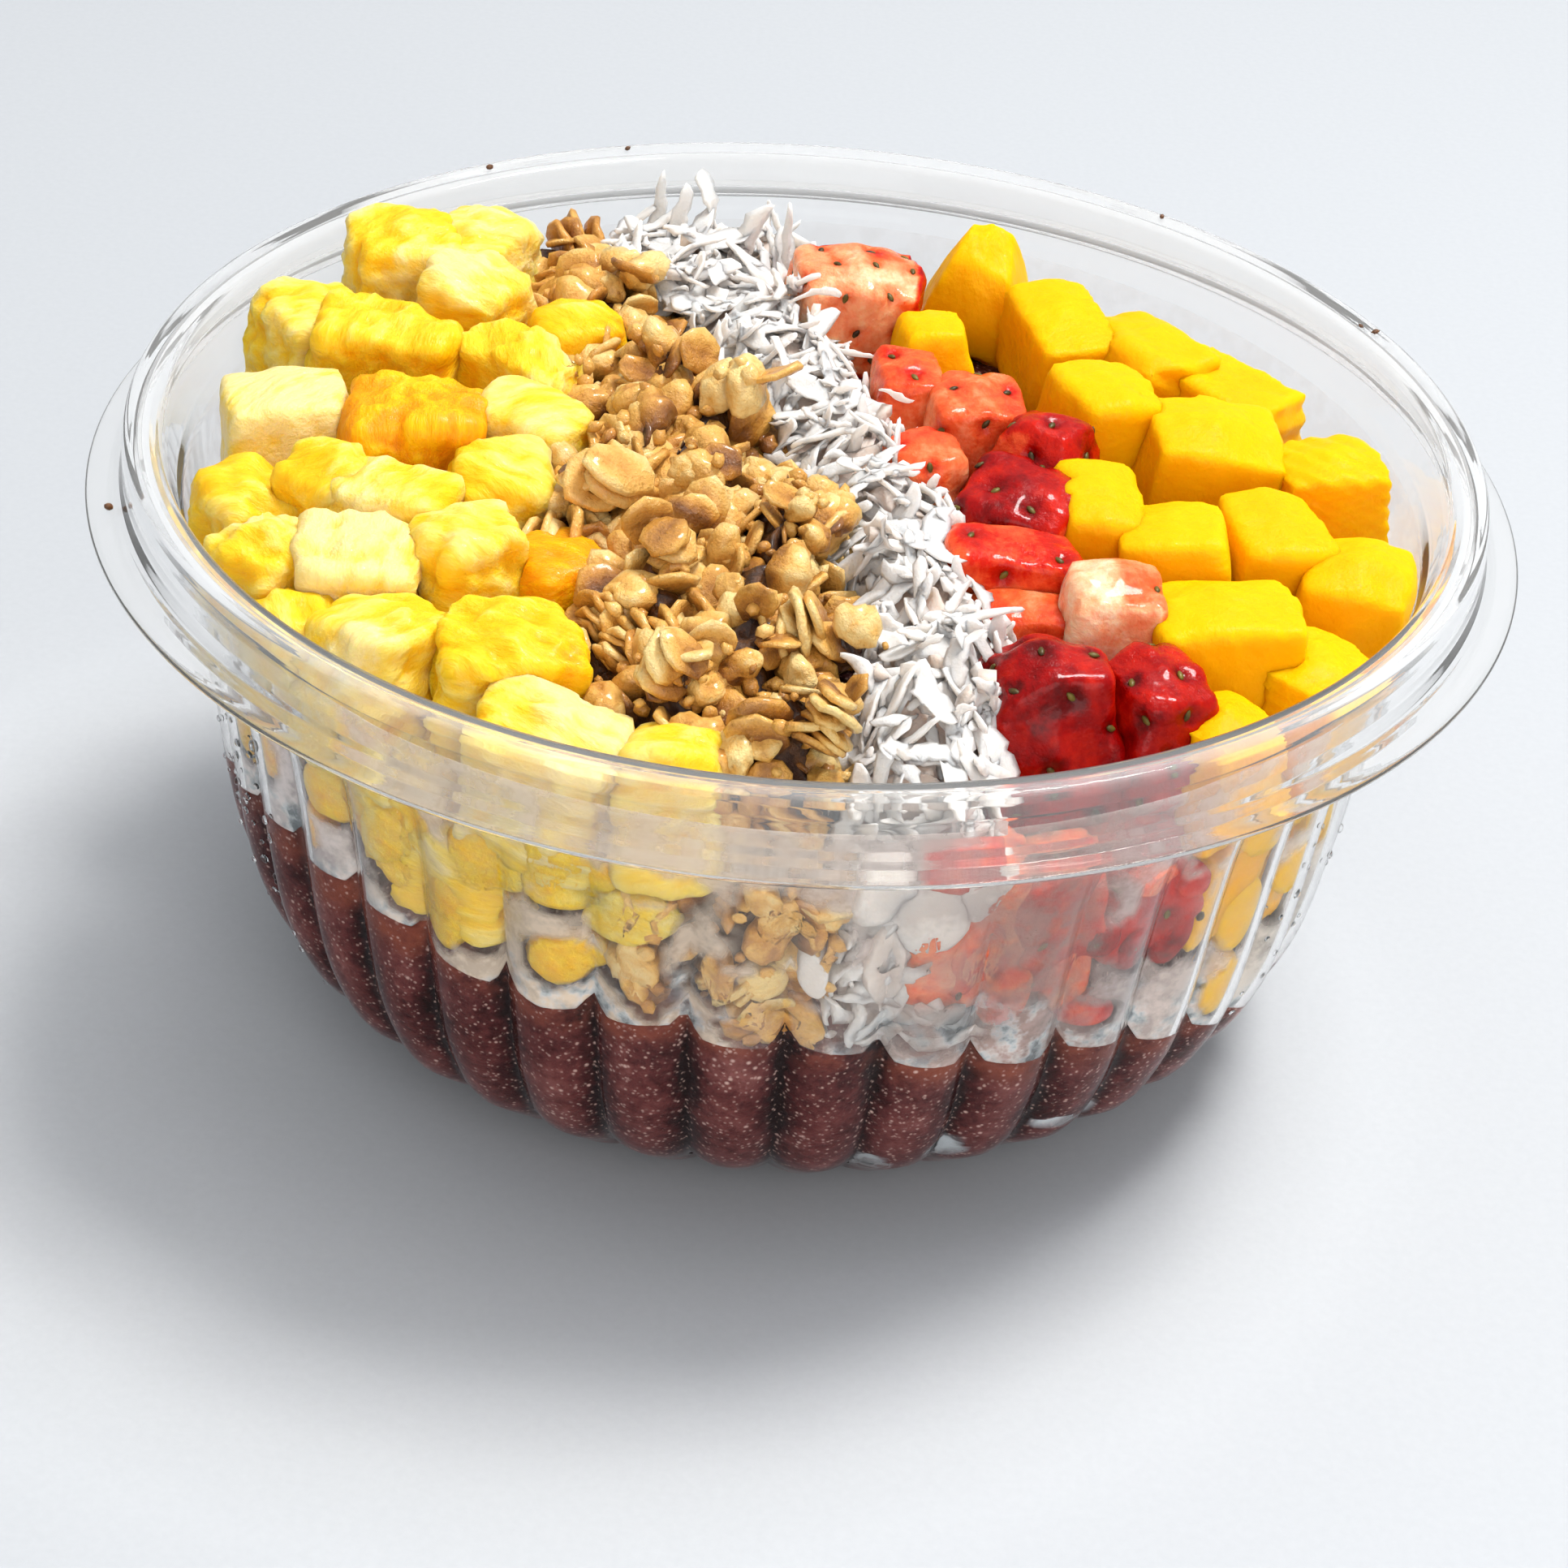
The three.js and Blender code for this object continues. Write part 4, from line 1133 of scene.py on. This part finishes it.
# By the angle from the front: colour of the smears there, and how much of them lies over food on the wall.
FILM_TINT = np.array([
    (-180, 0.86, 0.80, 0.77, 0.2), (-75, 0.82, 0.73, 0.71, 0.15), (-48, 0.80, 0.73, 0.72, 0.12),
    (-34, 0.84, 0.70, 0.56, 0.08), (-12, 0.76, 0.61, 0.47, 0.06), (0, 0.72, 0.60, 0.50, 0.1),
    (8, 0.70, 0.60, 0.56, 0.12), (18, 0.54, 0.41, 0.37, 0.4), (24, 0.42, 0.29, 0.26, 0.6),
    (29, 0.44, 0.32, 0.29, 0.5), (33, 0.54, 0.45, 0.43, 0.12), (40, 0.68, 0.57, 0.53, 0.08),
    (46, 0.80, 0.68, 0.61, 0.1), (60, 0.86, 0.78, 0.69, 0.08), (180, 0.86, 0.80, 0.77, 0.2),
])


def add_frost():
    """A thin film on the inside of the wall above the acai, with gaps where food touches the wall."""
    around = FLUTES * 10
    rows = 34
    angles = angles_round(around)
    foot = acai_edge(angles) - 0.8
    head = FLANGE_HEIGHT - 1.0
    heights = [foot + (head - foot) * share for share in np.linspace(0, 1, rows)]
    outer = [on_wall(angles, z, SHEET + 0.04) for z in heights]
    inner = [on_wall(angles, z, SHEET + 0.12) for z in heights]
    points = np.concatenate([*outer, *inner[::-1]])
    faces = ring_quads([*range(0, len(points), around), 0], around)
    touching = np.vstack(TOUCHING)
    tree = KDTree(len(touching))
    for k, point in enumerate(touching):
        tree.insert(point, k)
    tree.balance()
    gap = np.array([tree.find(point)[2] for point in points]) + 0.5 * soft_noise(points, 2.2, 31)
    angle = angle_of(points)
    rise = points[:, 2] - acai_edge(angle)
    tall = 5.5 + 3.0 * lobe_draw(angle, 8) + 2.0 * soft_noise(points, 2.6, 32)
    low = 1 - smoothstep(rise, tall - 2.0, tall + 2.0)
    behind = smoothstep(np.abs(angle), 66, 92)
    tint = np.stack([np.interp(angle, FILM_TINT[:, 0], FILM_TINT[:, k]) for k in (1, 2, 3)], 1)
    on_food = np.interp(angle, FILM_TINT[:, 0], FILM_TINT[:, 4])
    high = smoothstep(points[:, 2], 48, 60)
    veil = on_food + (1 - on_food) * smoothstep(gap, 0.7, 1.7)
    veil = veil * (1 - 0.85 * behind * (1 - low)) * (1 - 0.35 * high)
    values = {"veil": veil, "low": low, "tint": tint}
    add_piece("wall_frost", points, faces, [film_material()], "bowl", (), values)


# ---------------------------------------------------------------- drops and crumbs

# Crumbs on the rim and the flange: angle, radius, height, size.
CRUMBS = [
    (-130, 70.6, 66.4, 0.55), (-129, 70.6, 67.2, 0.4), (-144.6, 73.4, 71.3, 0.5), (-159.4, 73.6, 71.3, 0.4),
    (-75, 77.6, 64.3, 0.6), (145.5, 74.0, 71.3, 0.4), (116.5, 74.0, 71.3, 0.45), (118.0, 73.2, 71.3, 0.3),
]


DROPS = ((-1, 240), (1, 60))  # side of the bowl and how many are there
DROP_ANGLES = (56, 104)
DROP_HEIGHTS = (3, 46)


def dome(size):
    """A drop with its flat side down, a little lower than a half ball."""
    around, rows, flat = 8, 4, 0.65
    rings = []
    for tilt in math.pi / 2 * np.arange(rows) / rows:
        wide = size * math.cos(tilt)
        rings.append(oval(around, wide, wide, size * flat * math.sin(tilt)))
    return ring_stack(rings, (0, 0, -0.02), (0, 0, size * flat))


def add_drops():
    """Condensation on the outside of the wall, at the left and the right of the front."""
    draw = np.random.default_rng(31)
    drops = []
    for side, count in DROPS:
        for _ in range(count):
            angle = side * draw.uniform(*DROP_ANGLES)
            z = draw.uniform(*DROP_HEIGHTS)
            foot = on_wall(angle, z)
            out = np.cross(on_wall(angle + 0.4, z) - foot, on_wall(angle, z + 0.4) - foot)
            drop, faces = dome(draw.uniform(0.3, 0.4 + 0.6 * draw.uniform() ** 3))
            drops.append((drop @ frame_on(out, draw).T + foot, faces))
    water = clear_material("water_drops", (1.0, 1.0, 1.0), 0.0, 1.33, 0.9)
    add_piece("wall_drops", *merged(drops), [water], "bowl")


def add_crumbs(material):
    draw = np.random.default_rng(32)
    crumbs = []
    for angle, radius, z, size in CRUMBS:
        shape, faces, _ = crumb_shape(draw)
        middle = polar(radius, angle, z + 0.3 * size)
        crumbs.append((shape * size @ turned(draw, 0.5).T + middle, faces, np.full(len(shape), 0.9)))
    points, faces, tones = merged(crumbs)
    add_piece("rim_crumbs", points, faces, [material], "granola", (), {"tone": tones, "grain": points})


# ---------------------------------------------------------------- studio


FLOOR = 3000  # half its width


def add_stage():
    corners = [(-FLOOR, -FLOOR, 0), (FLOOR, -FLOOR, 0), (FLOOR, FLOOR, 0), (-FLOOR, FLOOR, 0)]
    new_object("floor", new_mesh("floor", corners, [[0, 1, 2, 3]], [floor_material()]))


# Round lamps: name, place, what they point at, width, watts, colour.
LAMPS = [
    ("key", (345, 245, 1085), (0, 0, 40), 330, 14.6, (1.0, 0.995, 0.98)),
    ("front_fill", (160, -900, 470), (0, 0, 45), 900, 4.6, (1.0, 0.995, 0.985)),
]
SKY_COLOUR = (0.93, 0.965, 1.0, 1)
SKY_LOW, SKY_HIGH = 0.25, 0.77  # its strength at the horizon and overhead


def add_lamp(name, position, target, width, watts, colour):
    lamp = bpy.data.lights.new(name, "AREA")
    lamp.shape = "DISK"
    lamp.size = width * MM
    lamp.energy = watts
    lamp.color = colour
    obj = new_object(name, lamp)
    obj.location = Vector(position) * MM
    direction = Vector(target) * MM - obj.location
    obj.rotation_euler = direction.to_track_quat("-Z", "Y").to_euler()


def add_lights():
    for lamp in LAMPS:
        add_lamp(*lamp)
    world = bpy.data.worlds.new("studio")
    bpy.context.scene.world = world
    world.use_nodes = True
    nodes, links = world.node_tree.nodes, world.node_tree.links
    sky = nodes["Background"]
    sky.inputs["Color"].default_value = SKY_COLOUR
    split = nodes.new("ShaderNodeSeparateXYZ")
    links.new(nodes.new("ShaderNodeTexCoord").outputs["Generated"], split.inputs[0])
    climb = nodes.new("ShaderNodeMapRange")
    climb.inputs["To Min"].default_value = SKY_LOW
    climb.inputs["To Max"].default_value = SKY_HIGH
    links.new(split.outputs["Z"], climb.inputs["Value"])
    links.new(climb.outputs["Result"], sky.inputs["Strength"])


CAMERA_DISTANCE = 420.0  # from the middle of the flange
CAMERA_RISE = math.radians(28.73)  # of the camera's place over the flange
LOOK_DOWN = math.radians(33.49)
LOOK_ASIDE = math.radians(0.04)
ROLL = math.radians(4.54)
LENS = 85.2
SENSOR = 36.0


def add_camera():
    position = (
        0,
        -CAMERA_DISTANCE * math.cos(CAMERA_RISE),
        FLANGE_HEIGHT + CAMERA_DISTANCE * math.sin(CAMERA_RISE),
    )
    forward = Vector((
        math.sin(LOOK_ASIDE) * math.cos(LOOK_DOWN),
        math.cos(LOOK_ASIDE) * math.cos(LOOK_DOWN),
        -math.sin(LOOK_DOWN),
    ))
    level = Vector((math.cos(LOOK_ASIDE), -math.sin(LOOK_ASIDE), 0))
    over = level.cross(forward)
    right = level * math.cos(ROLL) + over * math.sin(ROLL)
    up = over * math.cos(ROLL) - level * math.sin(ROLL)
    camera = bpy.data.cameras.new("camera")
    camera.lens = LENS
    camera.sensor_width = SENSOR
    camera.clip_start = 0.01
    obj = new_object("camera", camera)
    turn = Matrix((right, up, -forward)).transposed().to_4x4()
    obj.matrix_world = Matrix.Translation(Vector(position) * MM) @ turn
    bpy.context.scene.camera = obj


def set_render_looks():
    scene = bpy.context.scene
    scene.view_settings.view_transform = "Standard"
    scene.cycles.use_denoising = True
    scene.cycles.use_light_tree = False
    scene.cycles.max_bounces = 8
    scene.cycles.diffuse_bounces = 2
    scene.cycles.glossy_bounces = 2
    scene.cycles.transmission_bounces = 8
    scene.cycles.transparent_max_bounces = 10


for make in (
    add_camera, add_lights, add_stage, set_render_looks,
    add_bowl, add_acai, add_all_fruit, add_granola, add_coconut, add_frost, add_drops,
):
    make()
